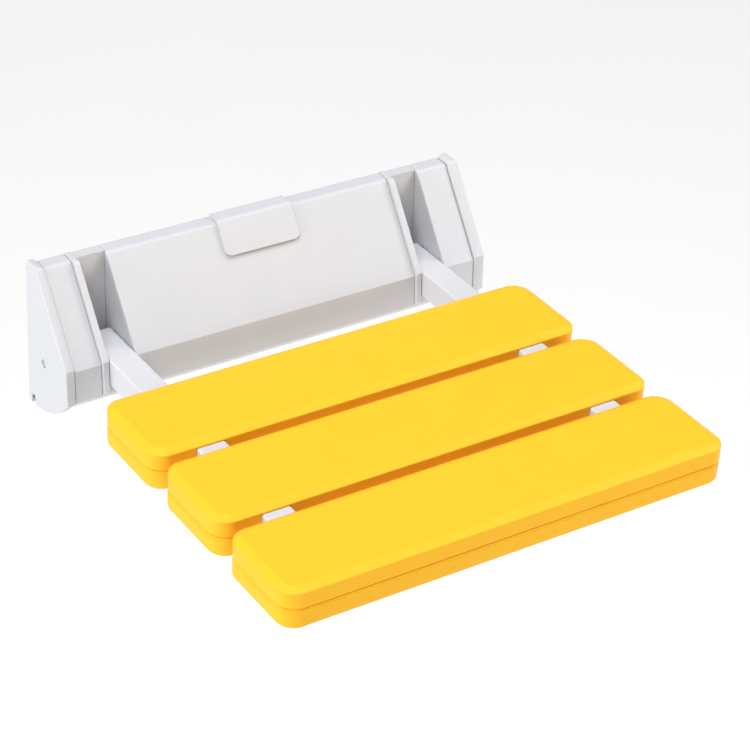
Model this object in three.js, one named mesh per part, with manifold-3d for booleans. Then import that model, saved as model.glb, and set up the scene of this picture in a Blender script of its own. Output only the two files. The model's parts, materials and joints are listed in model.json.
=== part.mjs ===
// Wall-mounted folding shower seat.
//
// A shallow wedge-shaped housing carries two square arms in two open slots. Three slats, each
// an upper and a lower shell clamped round the arms, form the seat, which folds up against
// the wall about one horizontal axis.
//
// Frame: +X to the right along the wall, +Y into the wall, +Z up, millimetres. The origin is
// the centre of the wall plate's back face. Heights inside the assembly are measured from the
// bottom edge of the front fascia, and the assembly group lowers all of them together.

import * as THREE from 'three';
import { mergeVertices } from 'three/addons/utils/BufferGeometryUtils.js';
import Module from 'manifold-3d';

const wasm = await Module();
wasm.setup();

// ---------------------------------------------------------------- driving dimensions

const GAP = 0.3;                     // clearance between pieces that touch
const OVERSHOOT = 5;                 // how far a cutter reaches past what it cuts
const OVERLAP = 0.5;                 // how far two solids that are joined run into each other

// Housing section: a flat top, a long slanted front, a low fascia and a round belly
const HOUSING_HALF_WIDTH = 160;
const BODY_HEIGHT = 77;              // top face above the fascia's bottom edge
const TOP_DEPTH = 10.5;              // from the wall to the top of the slant
const FOLD_HEIGHT = 22;              // where the slant meets the fascia
const FOLD_DEPTH = 51.4;
const FASCIA_DEPTH = 52.8;           // at the fascia's bottom edge
const BELLY_CENTRE = { y: -1, z: 46 };
const BELLY_RADIUS = 69.3;
const BODY_WALL = 2.2;
const TOP_FOLD_RADIUS = 4;
const LOWER_FOLD_RADIUS = 2;
const ORIGIN_HEIGHT = 27;            // the wall plate's centre above the fascia's bottom edge

// How far the end caps and each slot's left cheek stand proud of the housing's section
const CAP_PROUD = { top: 2.2, slant: 3.2, fascia: 2.2, belly: 1.7 };
const CHEEK_PROUD = { top: 0.5, slant: 3.1, fascia: 2.2, belly: 0 };

// End caps
const CAP_WIDTH = 7;
const CAP_BEVEL = 4;                 // width of the bevel on the inner edge
const CAP_BEVEL_DROP = 1.8;
const CAP_FACE = 2.8;                // thickness of the outer face
const CAP_NECK = 0.3;                // recessed neck that makes the seam
const CAP_NECK_DEPTH = 1.5;
const CAP_CAVITY_DEPTH = 3.2;
const CAP_BOSS_RADIUS = 8;
const CAP_LEDGE = 0.6;               // thickness of the ledge that keeps the pin in
const CAP_WINDOW_RADIUS = 3;         // the hole in the ledge
const NOTCH_WIDTH = 5.6;
const NOTCH_HEIGHT = 6.4;
const NOTCH_DISTANCE = 6.8;          // notch centre from the wall
const NOTCH_BASE = -24;

// Slots, and the bracket that lines each one. Its left cheek is seen; its right cheek is hidden
// inside the cover, whose end web makes the slot's right wall.
const SLOT_CENTRE = 119;
const SLOT_WIDTH = 20.5;
const CHEEK_WIDTH = 4.2;
const WEB_THICKNESS = 2.4;
const HIDDEN_CHEEK_WIDTH = 3.6;
const BRIDGE_FRONT = 7.6;            // distance from the wall of the bridge to the hidden cheek
const SLOT_BACK_TOP = 8.2;           // depth of the slot's back wall at the top face
const SLOT_BACK_BOTTOM = 10.9;       // and at the fascia's bottom edge
const LIP_THICKNESS = 3;             // the low front wall that the arm rests on
const FLOOR_THICKNESS = 2.5;
const BRACKET_WEB = 3;
const WASHER_RECESS = 1;

// Wall plate
const PLATE_THICKNESS = 2.5;
const PLATE_HALF_WIDTH = 151.3;
const PLATE_TOP = 74.4;
const PLATE_BOTTOM = -20.4;
const PLATE_CORNER = 6;
const WALL_HOLE_RADIUS = 3;
const WALL_HOLE_X = 82;
const WALL_HOLE_Z = [-4, 58];
const SCREW_PAD_Z = [-3, 56];        // bracket screws, in the slot's solid pads
const SCREW_PAD_HALF = 7;

// Centre cover and its badge tab
const RIB_X = 40;
const RIB_THICKNESS = 2;
const RIB_WIDTH = 9;
const BADGE_WIDTH = 56.4;
const BADGE_PROUD = 2.2;
const BADGE_DROP = 23.3;             // how far it comes down the slant
const BADGE_CORNER = 4.5;
const BADGE_BACK = 0.6;              // distance of its back edge from the wall
const BADGE_LEG = { x: 16, drop: 12, width: 6, thickness: 2, length: 6 };

// Hinge: pin, bush, washers, circlips
const PIVOT = { y: -22.6, z: 14.6 };
const PIN_RADIUS = 4;
const PIN_OUTER_END = HOUSING_HALF_WIDTH - CAP_LEDGE - GAP;
const PIN_TAIL = 1.6;                // how far the pin goes past its circlip
const CLIP_THICKNESS = 1;
const CLIP_OUTER_RADIUS = 6.5;
const GROOVE_RADIUS = 3.2;
const BUSH_RADIUS = 6;
const BUSH_INSET = 0.1;              // distance of its ends from the arm's side faces
const WASHER_RADIUS = 9.1;

// Arms
const ARM_WIDTH = 19.6;
const ARM_HEIGHT = 18.9;
const ARM_TOP = 25;
const ARM_WALL = 1.8;
const ARM_CORNER = 1.6;
const ARM_REAR = -17.8;
const ARM_FRONT = -311;
const TAIL_RADIUS = 11.4;            // round end of the rear plug, about the pivot
const REAR_PLUG_REACH = 14;          // how far the rear plug goes past the pivot into the tube
const FRONT_PLUG_LENGTH = 14;
const FRONT_PLUG_FLANGE = 2;

// Slats
const SLAT_COUNT = 3;
const SLAT_WIDTH = 317;
const SLAT_DEPTH = 68.9;
const SLAT_PITCH = 77.1;
const SLAT_REAR = -97.3;             // rear edge of the first slat
const SLAT_TOP = 29;
const SLAT_BOTTOM = 0.6;
const SLAT_PARTING = 15.1;
const SLAT_CORNER = 12.4;
const SLAT_WALL = 2.6;
const TOP_BEVEL = { size: 4.7, thickness: 2.6 };
const BOTTOM_BEVEL = { size: 4, thickness: 4 };
const TONGUE_HEIGHT = 1;
const TONGUE_INSET = 1;
const SLAT_RIB = 2;
const SLAT_RIB_X = [-70, 0, 70];
const UPPER_RIB_START = 3;           // above the parting
const LOWER_RIB_RISE = 4;            // above the arms' undersides

// Slat screws
const SHELL_SCREW_X = [100, 140];
const SHELL_SCREW_Y = 0;
const SHELL_BOSS_RADIUS = 4.6;
const SHELL_SCREW_SEAT = 5;          // height of the screw head's seat
const SHELL_SCREW_TIP = 22;
const ARM_SCREW_SEAT = 3.2;
const ARM_SCREW_TIP = 11;
const ARM_PAD = { x: 18, y: 14 };
const SCREW_RADIUS = 1.6;
const SCREW_HEAD_RADIUS = 3.4;
const SCREW_HEAD_HEIGHT = 2;

// Bracket screws
const BRACKET_SCREW = { radius: 1.9, head: 3.7, headHeight: 1.9, length: 7.4 };

// Edges across a slot, measured from its centre
const SLOT_HALF = SLOT_WIDTH / 2;
const CHEEK_EDGE = SLOT_HALF + CHEEK_WIDTH;
const HIDDEN_CHEEK = [
  SLOT_HALF + WEB_THICKNESS + GAP,
  SLOT_HALF + WEB_THICKNESS + GAP + HIDDEN_CHEEK_WIDTH,
];

// Roundness of the facets
const FINE = 18;
const SMALL = 10;
const CORNER_STEPS = 4;
const BELLY_STEPS = 9;

// ---------------------------------------------------------------- materials

const WHITE_PLASTIC = { color: 0xeceaea, roughness: 0.45, metalness: 0 };
const WHITE_ENAMEL = { color: 0xf1eff1, roughness: 0.35, metalness: 0.1 };
const YELLOW_PLASTIC = { color: 0xffc91f, roughness: 0.38, metalness: 0 };
const STEEL = { color: 0xb9bcc0, roughness: 0.35, metalness: 0.9 };
const ZINC = { color: 0x9da3a8, roughness: 0.5, metalness: 0.8 };
const NYLON = { color: 0xdad7cf, roughness: 0.55, metalness: 0 };
const BLACK_NYLON = { color: 0x2b2c2e, roughness: 0.6, metalness: 0 };

// ---------------------------------------------------------------- solids

function toSolid(geometry) {
  const bare = geometry.index ? geometry.toNonIndexed() : geometry.clone();
  bare.deleteAttribute('normal');
  bare.deleteAttribute('uv');
  const merged = mergeVertices(bare, 1e-4);
  return new wasm.Manifold(new wasm.Mesh({
    numProp: 3,
    vertProperties: new Float32Array(merged.attributes.position.array),
    triVerts: new Uint32Array(merged.index.array),
  }));
}

function toGeometry(solid) {
  const mesh = solid.getMesh();
  const geometry = new THREE.BufferGeometry();
  geometry.setAttribute('position', new THREE.BufferAttribute(mesh.vertProperties, 3));
  geometry.setIndex(new THREE.BufferAttribute(mesh.triVerts, 1));
  geometry.computeVertexNormals();
  return geometry;
}

const join = (first, ...others) => others.reduce((sum, solid) => sum.add(solid), first);
const cut = (first, ...others) => others.reduce((rest, solid) => rest.subtract(solid), first);

function block(x, y, z) {
  const size = [x, y, z].map(([low, high]) => high - low);
  const centre = [x, y, z].map(([low, high]) => (low + high) / 2);
  return toSolid(new THREE.BoxGeometry(...size).translate(...centre));
}

// A range along X at a distance from the middle, on the chosen side
const span = (side, from, to) => (side > 0 ? [from, to] : [-to, -from]);

function rodX([x0, x1], radius, at, segments = FINE) {
  const rod = new THREE.CylinderGeometry(radius, radius, x1 - x0, segments);
  rod.rotateZ(Math.PI / 2);
  return toSolid(rod.translate((x0 + x1) / 2, at.y, at.z));
}

function rodZ([z0, z1], radius, x, y, segments = SMALL) {
  const rod = new THREE.CylinderGeometry(radius, radius, z1 - z0, segments);
  rod.rotateX(Math.PI / 2);
  return toSolid(rod.translate(x, y, (z0 + z1) / 2));
}

function rodY([y0, y1], radius, x, z, segments = SMALL) {
  const rod = new THREE.CylinderGeometry(radius, radius, y1 - y0, segments);
  return toSolid(rod.translate(x, (y0 + y1) / 2, z));
}

// Skins a row of outlines, each drawn in the (y, z) plane at its own x. The outlines run
// anticlockwise as seen from +X and have the same number of points.
function loftX(sections) {
  const ordered = [...sections].sort((first, second) => first.x - second.x);
  const count = ordered[0].outline.length;
  const positions = ordered.flatMap(({ x, outline }) => outline.flatMap((p) => [x, p.x, p.y]));
  const indices = [];
  for (let start = 0; start < (ordered.length - 1) * count; start += count) {
    for (let i = 0; i < count; i += 1) {
      const here = start + i;
      const next = start + ((i + 1) % count);
      indices.push(here, next, next + count, here, next + count, here + count);
    }
  }
  const last = (ordered.length - 1) * count;
  THREE.ShapeUtils.triangulateShape(ordered[0].outline, []).forEach(([a, b, c]) => {
    indices.push(a, c, b);
  });
  THREE.ShapeUtils.triangulateShape(ordered.at(-1).outline, []).forEach(([a, b, c]) => {
    indices.push(last + a, last + b, last + c);
  });
  const geometry = new THREE.BufferGeometry();
  geometry.setAttribute('position', new THREE.Float32BufferAttribute(positions, 3));
  geometry.setIndex(indices);
  return toSolid(geometry);
}

const extrudeX = (outline, [x0, x1]) => loftX([{ x: x0, outline }, { x: x1, outline }]);

// Extrudes an outline drawn in the (x, y) plane upwards
function extrudeZ(outline, [z0, z1], bevel) {
  const rise = bevel ? bevel.thickness : 0;
  const geometry = new THREE.ExtrudeGeometry(new THREE.Shape(outline), {
    depth: z1 - z0 - 2 * rise,
    bevelEnabled: Boolean(bevel),
    bevelThickness: rise,
    bevelSize: bevel ? bevel.size : 0,
    bevelOffset: bevel ? -bevel.size : 0,
    bevelSegments: bevel ? bevel.segments : 1,
  });
  return toSolid(geometry.translate(0, 0, z0 + rise));
}

// Turns a polygon's corners into arcs; radii[i] rounds points[i]
function roundCorners(points, radii, steps = CORNER_STEPS) {
  const outline = [];
  points.forEach((corner, i) => {
    const radius = radii[i];
    if (!radius) {
      outline.push(corner);
      return;
    }
    const before = points[(i + points.length - 1) % points.length].clone().sub(corner).normalize();
    const after = points[(i + 1) % points.length].clone().sub(corner).normalize();
    const half = Math.acos(before.dot(after)) / 2;
    const middle = before.clone().add(after).normalize();
    const centre = corner.clone().addScaledVector(middle, radius / Math.sin(half));
    const start = corner.clone().addScaledVector(before, radius / Math.tan(half)).sub(centre);
    const turn = (Math.PI - 2 * half) * Math.sign(start.cross(middle.clone().negate()));
    for (let k = 0; k <= steps; k += 1) {
      const arm = start.clone().rotateAround(new THREE.Vector2(), (turn * k) / steps);
      outline.push(centre.clone().add(arm));
    }
  });
  return outline;
}

function roundedRectangle(width, depth, radius, steps = CORNER_STEPS) {
  const corners = [[-1, -1], [1, -1], [1, 1], [-1, 1]];
  const points = corners.map(([x, y]) => new THREE.Vector2((x * width) / 2, (y * depth) / 2));
  return roundCorners(points, [radius, radius, radius, radius], steps);
}

// A screw with a flat round head, axis along +Z, head below its seat at z = 0
function slatScrew(length) {
  const profile = [
    new THREE.Vector2(0, -SCREW_HEAD_HEIGHT),
    new THREE.Vector2(SCREW_HEAD_RADIUS, -SCREW_HEAD_HEIGHT),
    new THREE.Vector2(SCREW_HEAD_RADIUS, 0),
    new THREE.Vector2(SCREW_RADIUS, 0),
    new THREE.Vector2(SCREW_RADIUS, length - SCREW_RADIUS),
    new THREE.Vector2(0, length),
  ];
  return toSolid(new THREE.LatheGeometry(profile, SMALL).rotateX(Math.PI / 2));
}

// ---------------------------------------------------------------- housing section

const SLANT = new THREE.Vector2(TOP_DEPTH - FOLD_DEPTH, FOLD_HEIGHT - BODY_HEIGHT).normalize();
const SLANT_NORMAL = new THREE.Vector2(SLANT.y, -SLANT.x);
const FASCIA = new THREE.Vector2(FOLD_DEPTH - FASCIA_DEPTH, -FOLD_HEIGHT).normalize();
const FASCIA_NORMAL = new THREE.Vector2(FASCIA.y, -FASCIA.x);
const TOP_EDGE = new THREE.Vector2(-TOP_DEPTH, BODY_HEIGHT);
const FOLD_EDGE = new THREE.Vector2(-FOLD_DEPTH, FOLD_HEIGHT);

function crossing(pointA, directionA, pointB, directionB) {
  const along = pointB.clone().sub(pointA).cross(directionB) / directionA.cross(directionB);
  return pointA.clone().addScaledVector(directionA, along);
}

// The housing's outline in (y, z), grown outwards by a distance on each of its faces. The back
// edge lies on the wall, or past it for a cutter.
function housingOutline(grow, back = 0) {
  const top = BODY_HEIGHT + grow.top;
  const onSlant = TOP_EDGE.clone().addScaledVector(SLANT_NORMAL, grow.slant);
  const onFascia = FOLD_EDGE.clone().addScaledVector(FASCIA_NORMAL, grow.fascia);
  const level = new THREE.Vector2(1, 0);
  const topCorner = crossing(new THREE.Vector2(0, top), level, onSlant, SLANT);
  const foldCorner = crossing(onSlant, SLANT, onFascia, FASCIA);

  const centre = new THREE.Vector2(BELLY_CENTRE.y, BELLY_CENTRE.z);
  const radius = BELLY_RADIUS + grow.belly;
  const fromCentre = onFascia.clone().sub(centre);
  const half = fromCentre.dot(FASCIA);
  const reach = -half + Math.sqrt(half * half - fromCentre.lengthSq() + radius * radius);
  const lowCorner = onFascia.clone().addScaledVector(FASCIA, reach);
  const startAngle = Math.atan2(lowCorner.y - centre.y, lowCorner.x - centre.x);
  const endAngle = Math.atan2(-Math.sqrt(radius ** 2 - centre.x ** 2), -centre.x) + 2 * Math.PI;
  const turn = ((endAngle - startAngle) + 2 * Math.PI) % (2 * Math.PI);

  const corners = [new THREE.Vector2(back, top), topCorner, foldCorner, lowCorner];
  const rounded = roundCorners(corners, [0, TOP_FOLD_RADIUS, LOWER_FOLD_RADIUS, 0], 4);
  for (let k = 1; k <= BELLY_STEPS; k += 1) {
    const angle = startAngle + (turn * k) / BELLY_STEPS;
    rounded.push(centre.clone().add(new THREE.Vector2(radius, 0).rotateAround(
      new THREE.Vector2(),
      angle,
    )));
  }
  if (back > 0) rounded.push(new THREE.Vector2(back, centre.y - radius));
  return rounded;
}

const evenly = (distance) => ({
  top: distance, slant: distance, fascia: distance, belly: distance,
});
const BODY = evenly(0);
const INSIDE = evenly(-BODY_WALL);

// A hollow cover, open at the back and at both ends
function shell([x0, x1]) {
  const cavity = housingOutline(INSIDE, OVERSHOOT);
  return cut(
    extrudeX(housingOutline(BODY), [x0, x1]),
    extrudeX(cavity, [x0 - OVERSHOOT, x1 + OVERSHOOT]),
  );
}

// The same, with its left end closed by a web that is a slot's right wall
function webbedShell([x0, x1]) {
  const webRange = [x0, x0 + WEB_THICKNESS];
  const wide = [x0 - OVERSHOOT, x0 + WEB_THICKNESS + OVERSHOOT];
  const bridgeRoom = block(
    wide,
    [-BRIDGE_FRONT - GAP, OVERSHOOT],
    [-HOUSING_HALF_WIDTH, BODY_HEIGHT - BODY_WALL],
  );
  const web = cut(
    extrudeX(housingOutline(BODY), webRange),
    bridgeRoom,
    rodX(wide, PIN_RADIUS + GAP, PIVOT),
    rodX([x0 - OVERSHOOT, x0 + WASHER_RECESS], WASHER_RADIUS + GAP, PIVOT),
  );
  return join(shell([x0, x1]), web);
}

// Carries a solid drawn with (x, along the slant, out of the slant) onto the slant
function slantMatrix() {
  return new THREE.Matrix4().makeBasis(
    new THREE.Vector3(1, 0, 0),
    new THREE.Vector3(0, -SLANT.x, -SLANT.y),
    new THREE.Vector3(0, SLANT_NORMAL.x, SLANT_NORMAL.y),
  ).setPosition(0, TOP_EDGE.x, TOP_EDGE.y);
}

// ---------------------------------------------------------------- housing pieces

function wallPlate() {
  const width = 2 * PLATE_HALF_WIDTH;
  const height = PLATE_TOP - PLATE_BOTTOM;
  const middle = (PLATE_TOP + PLATE_BOTTOM) / 2;
  const outline = roundedRectangle(width, height, PLATE_CORNER);
  const sheet = extrudeZ(outline, [0, PLATE_THICKNESS])
    .rotate([90, 0, 0])
    .translate([0, 0, middle]);
  const wallHoles = [-1, 1].flatMap((side) => WALL_HOLE_Z.map((z) => (
    rodY([-OVERSHOOT, OVERSHOOT], WALL_HOLE_RADIUS, side * WALL_HOLE_X, z)
  )));
  const { radius, head, headHeight } = BRACKET_SCREW;
  const screwHoles = [-1, 1].flatMap((side) => SCREW_PAD_Z.flatMap((z) => [
    rodY([-OVERSHOOT, OVERSHOOT], radius + GAP, side * SLOT_CENTRE, z),
    rodY([-headHeight - GAP, OVERSHOOT], head + GAP, side * SLOT_CENTRE, z),
  ]));
  return cut(sheet, ...wallHoles, ...screwHoles);
}

function endCap(side) {
  const outer = HOUSING_HALF_WIDTH;
  const inner = outer - CAP_WIDTH;
  const face = outer - CAP_FACE;
  const outline = housingOutline(CAP_PROUD);
  const bevelled = housingOutline({
    top: CAP_PROUD.top - CAP_BEVEL_DROP,
    slant: CAP_PROUD.slant - CAP_BEVEL_DROP,
    fascia: CAP_PROUD.fascia - CAP_BEVEL_DROP,
    belly: CAP_PROUD.belly - CAP_BEVEL_DROP,
  });
  const neckOuter = housingOutline(evenly(-CAP_NECK_DEPTH));
  const cavity = housingOutline(evenly(-CAP_CAVITY_DEPTH))
    .map((point) => new THREE.Vector2(Math.min(point.x, -CAP_CAVITY_DEPTH), point.y));
  const body = join(
    loftX([
      { x: side * inner, outline: bevelled },
      { x: side * (inner + CAP_BEVEL), outline },
      { x: side * outer, outline },
    ]),
    extrudeX(neckOuter, span(side, inner - CAP_NECK, face)),
  );
  const hollow = extrudeX(cavity, span(side, inner - CAP_NECK - OVERSHOOT, face));
  const boss = rodX(span(side, inner, face + OVERLAP), CAP_BOSS_RADIUS, PIVOT);
  const bore = rodX(span(side, inner - OVERSHOOT, outer - CAP_LEDGE), PIN_RADIUS + GAP, PIVOT);
  const window = rodX(span(side, face, outer + OVERSHOOT), CAP_WINDOW_RADIUS, PIVOT);
  const notchSides = [-NOTCH_DISTANCE - NOTCH_WIDTH / 2, -NOTCH_DISTANCE + NOTCH_WIDTH / 2];
  const notchTop = NOTCH_BASE + NOTCH_HEIGHT;
  const through = span(side, inner - CAP_NECK - OVERSHOOT, outer + OVERSHOOT);
  const notch = join(
    block(through, notchSides, [NOTCH_BASE - OVERSHOOT, notchTop - NOTCH_WIDTH / 2]),
    rodX(through, NOTCH_WIDTH / 2, { y: -NOTCH_DISTANCE, z: notchTop - NOTCH_WIDTH / 2 }, SMALL),
  );
  return cut(join(cut(body, hollow), boss), bore, window, notch);
}

function endSection(side) {
  const outer = HOUSING_HALF_WIDTH - CAP_WIDTH - CAP_NECK - GAP;
  if (side > 0) return webbedShell([SLOT_CENTRE + SLOT_HALF, outer]);
  return shell([-outer, -SLOT_CENTRE - CHEEK_EDGE - GAP]);
}

// A web across the inside of the centre cover, open in its middle
function coverRib(x) {
  const range = [x - RIB_THICKNESS / 2, x + RIB_THICKNESS / 2];
  const wide = [range[0] - OVERSHOOT, range[1] + OVERSHOOT];
  const web = extrudeX(housingOutline(evenly(OVERLAP - BODY_WALL)), range);
  const window = extrudeX(housingOutline(evenly(-BODY_WALL - RIB_WIDTH), OVERSHOOT), wide);
  const plateRoom = block(
    wide,
    [-PLATE_THICKNESS - GAP, OVERSHOOT],
    [PLATE_BOTTOM - OVERSHOOT, PLATE_TOP + OVERSHOOT],
  );
  return cut(web, window, plateRoom);
}

function legs(width, thickness, from, to) {
  return [-1, 1].map((side) => {
    const box = new THREE.BoxGeometry(width, thickness, to - from);
    box.translate(side * BADGE_LEG.x, -BADGE_LEG.drop, (from + to) / 2);
    return toSolid(box.applyMatrix4(slantMatrix()));
  });
}

function centreCover() {
  const range = [-SLOT_CENTRE + SLOT_HALF, SLOT_CENTRE - CHEEK_EDGE - GAP];
  const ribs = [-2, -1, 1, 2].map((step) => coverRib(step * RIB_X));
  const { width, thickness, length } = BADGE_LEG;
  const slots = legs(width + 2 * GAP, thickness + 2 * GAP, -length, length);
  return cut(join(webbedShell(range), ...ribs), ...slots);
}

function badgeTab() {
  const half = BADGE_WIDTH / 2;
  const proud = extrudeX(housingOutline(evenly(BADGE_PROUD)), [-half, half]);
  const under = extrudeX(
    housingOutline(evenly(GAP), OVERSHOOT),
    [-half - OVERSHOOT, half + OVERSHOOT],
  );
  const rise = 30;
  const height = BADGE_DROP + rise;
  const mask = toSolid(new THREE.ExtrudeGeometry(
    new THREE.Shape(roundedRectangle(BADGE_WIDTH, height, BADGE_CORNER)),
    { depth: 2 * rise, bevelEnabled: false },
  ).translate(0, rise - height / 2, -rise).applyMatrix4(slantMatrix()));
  const room = block(
    [-HOUSING_HALF_WIDTH, HOUSING_HALF_WIDTH],
    [-BADGE_BACK, OVERSHOOT],
    [0, BODY_HEIGHT + rise],
  );
  const { width, thickness, length } = BADGE_LEG;
  const pegs = legs(width, thickness, -length, BADGE_PROUD / 2);
  return join(cut(proud, under).intersect(mask).subtract(room), ...pegs);
}

// The pocket that the arm swings in, as an outline in (y, z)
function slotOutline() {
  const floorRadius = BELLY_RADIUS - FLOOR_THICKNESS;
  const lipBack = -FASCIA_DEPTH + LIP_THICKNESS;
  const backAt = (z) => {
    const share = z / BODY_HEIGHT;
    return -(SLOT_BACK_BOTTOM + (SLOT_BACK_TOP - SLOT_BACK_BOTTOM) * share);
  };
  const floorAt = (y) => BELLY_CENTRE.z - Math.sqrt(floorRadius ** 2 - (y - BELLY_CENTRE.y) ** 2);
  const high = BODY_HEIGHT + 3 * OVERSHOOT;
  const front = -FASCIA_DEPTH - 3 * OVERSHOOT;
  const lipTop = ARM_TOP - ARM_HEIGHT - GAP;
  const backLow = backAt(floorAt(-SLOT_BACK_BOTTOM));
  const points = [
    [backAt(BODY_HEIGHT), high],
    [backAt(BODY_HEIGHT), BODY_HEIGHT],
    [backLow, floorAt(backLow)],
  ];
  const steps = 6;
  for (let k = 1; k <= steps; k += 1) {
    const y = backLow + ((lipBack - backLow) * k) / steps;
    points.push([y, floorAt(y)]);
  }
  points.push([lipBack, lipTop], [front, lipTop], [front, high]);
  return points.reverse().map(([y, z]) => new THREE.Vector2(y, z));
}

// Both brackets are the same moulding, made round x = 0: the proud cheek on the left of the
// slot, the pocket, and the hidden cheek on the right, which a bridge along the wall carries
function hingeBracket() {
  const [hiddenInner, hiddenOuter] = HIDDEN_CHEEK;
  const wide = [-CHEEK_EDGE - OVERSHOOT, hiddenOuter + OVERSHOOT];
  const slot = [-SLOT_HALF, SLOT_HALF];
  const hiddenOutline = housingOutline(evenly(-BODY_WALL - GAP));
  const bridgeReach = block(
    [0, hiddenOuter],
    [-BRIDGE_FRONT, OVERSHOOT],
    [-HOUSING_HALF_WIDTH, HOUSING_HALF_WIDTH],
  );
  const body = join(
    extrudeX(housingOutline(CHEEK_PROUD), [-CHEEK_EDGE, -SLOT_HALF]),
    extrudeX(housingOutline(BODY), [-CHEEK_EDGE + CHEEK_WIDTH / 2, SLOT_HALF - GAP]),
    extrudeX(hiddenOutline, [hiddenInner, hiddenOuter]),
    extrudeX(hiddenOutline, [0, hiddenOuter]).intersect(bridgeReach),
  );
  const plateRoom = block(
    wide,
    [-PLATE_THICKNESS - GAP, OVERSHOOT],
    [PLATE_BOTTOM - GAP, PLATE_TOP + GAP],
  );
  const webFront = -SLOT_BACK_TOP + BRACKET_WEB;
  const hollow = ([z0, z1]) => block(
    [slot[0], slot[1] - GAP - BRACKET_WEB],
    [webFront, OVERSHOOT],
    [z0, z1],
  );
  const [lowPad, highPad] = SCREW_PAD_Z;
  const hollows = [
    hollow([lowPad + SCREW_PAD_HALF, highPad - SCREW_PAD_HALF]),
    hollow([highPad + SCREW_PAD_HALF, PLATE_TOP]),
  ];
  const bore = rodX(wide, PIN_RADIUS + GAP, PIVOT);
  const washerSeat = rodX([-SLOT_HALF - WASHER_RECESS, 0], WASHER_RADIUS + GAP, PIVOT);
  const { radius, length } = BRACKET_SCREW;
  const screwHoles = SCREW_PAD_Z.map((z) => (
    rodY([-length - GAP, OVERSHOOT], radius + GAP, 0, z)
  ));
  return cut(
    body,
    plateRoom,
    extrudeX(slotOutline(), slot),
    bore,
    washerSeat,
    ...hollows,
    ...screwHoles,
  );
}

// A countersunk screw through the wall plate into the bracket's pad
function bracketScrew() {
  const { radius, head, headHeight, length } = BRACKET_SCREW;
  const profile = [
    new THREE.Vector2(0, 0),
    new THREE.Vector2(head, 0),
    new THREE.Vector2(head, headHeight * 0.3),
    new THREE.Vector2(radius, headHeight),
    new THREE.Vector2(radius, length - radius),
    new THREE.Vector2(0, length),
  ];
  return toSolid(new THREE.LatheGeometry(profile, SMALL).rotateX(Math.PI));
}

// ---------------------------------------------------------------- hinge pieces

// The circlip lies against the cheek nearer the housing's middle: on the left bracket that is
// the hidden cheek, and on the right bracket the proud one
function clipPosition(side) {
  const cheek = side > 0 ? CHEEK_EDGE : HIDDEN_CHEEK[1];
  return SLOT_CENTRE - cheek - GAP - CLIP_THICKNESS / 2;
}

function pivotPin(side) {
  const chamfer = 0.8;
  const groove = clipPosition(side);
  const grooveHalf = CLIP_THICKNESS / 2 + GAP;
  const innerEnd = groove - grooveHalf - PIN_TAIL;
  const profile = [
    [0, innerEnd],
    [PIN_RADIUS - chamfer, innerEnd],
    [PIN_RADIUS, innerEnd + chamfer],
    [PIN_RADIUS, groove - grooveHalf],
    [GROOVE_RADIUS, groove - grooveHalf],
    [GROOVE_RADIUS, groove + grooveHalf],
    [PIN_RADIUS, groove + grooveHalf],
    [PIN_RADIUS, PIN_OUTER_END - chamfer],
    [PIN_RADIUS - chamfer, PIN_OUTER_END],
    [0, PIN_OUTER_END],
  ].map(([r, x]) => new THREE.Vector2(r, x));
  const pin = new THREE.LatheGeometry(profile, FINE);
  pin.rotateZ(side > 0 ? -Math.PI / 2 : Math.PI / 2);
  return toSolid(pin.translate(0, PIVOT.y, PIVOT.z));
}

function circlip(side) {
  const place = clipPosition(side);
  const range = span(side, place - CLIP_THICKNESS / 2, place + CLIP_THICKNESS / 2);
  const wide = [range[0] - OVERSHOOT, range[1] + OVERSHOOT];
  const mouth = block(
    wide,
    [PIVOT.y - GROOVE_RADIUS, PIVOT.y + GROOVE_RADIUS],
    [PIVOT.z - 2 * CLIP_OUTER_RADIUS, PIVOT.z],
  );
  return cut(
    rodX(range, CLIP_OUTER_RADIUS, PIVOT),
    rodX(wide, GROOVE_RADIUS + GAP, PIVOT),
    mouth,
  );
}

function sleeve(range, outer, inner) {
  const wide = [range[0] - OVERSHOOT, range[1] + OVERSHOOT];
  return cut(rodX(range, outer, PIVOT), rodX(wide, inner, PIVOT));
}

const pivotBush = (side) => sleeve(
  span(
    side,
    SLOT_CENTRE - ARM_WIDTH / 2 + BUSH_INSET,
    SLOT_CENTRE + ARM_WIDTH / 2 - BUSH_INSET,
  ),
  BUSH_RADIUS,
  PIN_RADIUS + GAP,
);

// Which: -1 for the washer nearer the middle of the seat, +1 for the outer one
function frictionWasher(side, which) {
  const near = ARM_WIDTH / 2 + GAP;
  const far = SLOT_HALF + WASHER_RECESS - GAP;
  const distances = [SLOT_CENTRE + which * near, SLOT_CENTRE + which * far];
  const range = span(side, Math.min(...distances), Math.max(...distances));
  return sleeve(range, WASHER_RADIUS, PIN_RADIUS + GAP);
}

// ---------------------------------------------------------------- arms

const ARM_MIDDLE = ARM_TOP - ARM_HEIGHT / 2;
const slatCentre = (index) => SLAT_REAR - SLAT_DEPTH / 2 - index * SLAT_PITCH;

// A rounded bar along Y at an arm's place
function bar(side, [y0, y1], width, height, radius) {
  const outline = roundedRectangle(width, height, radius, 3);
  return extrudeZ(outline, [y0, y1])
    .rotate([-90, 0, 0])
    .translate([side * SLOT_CENTRE, 0, ARM_MIDDLE]);
}

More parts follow.
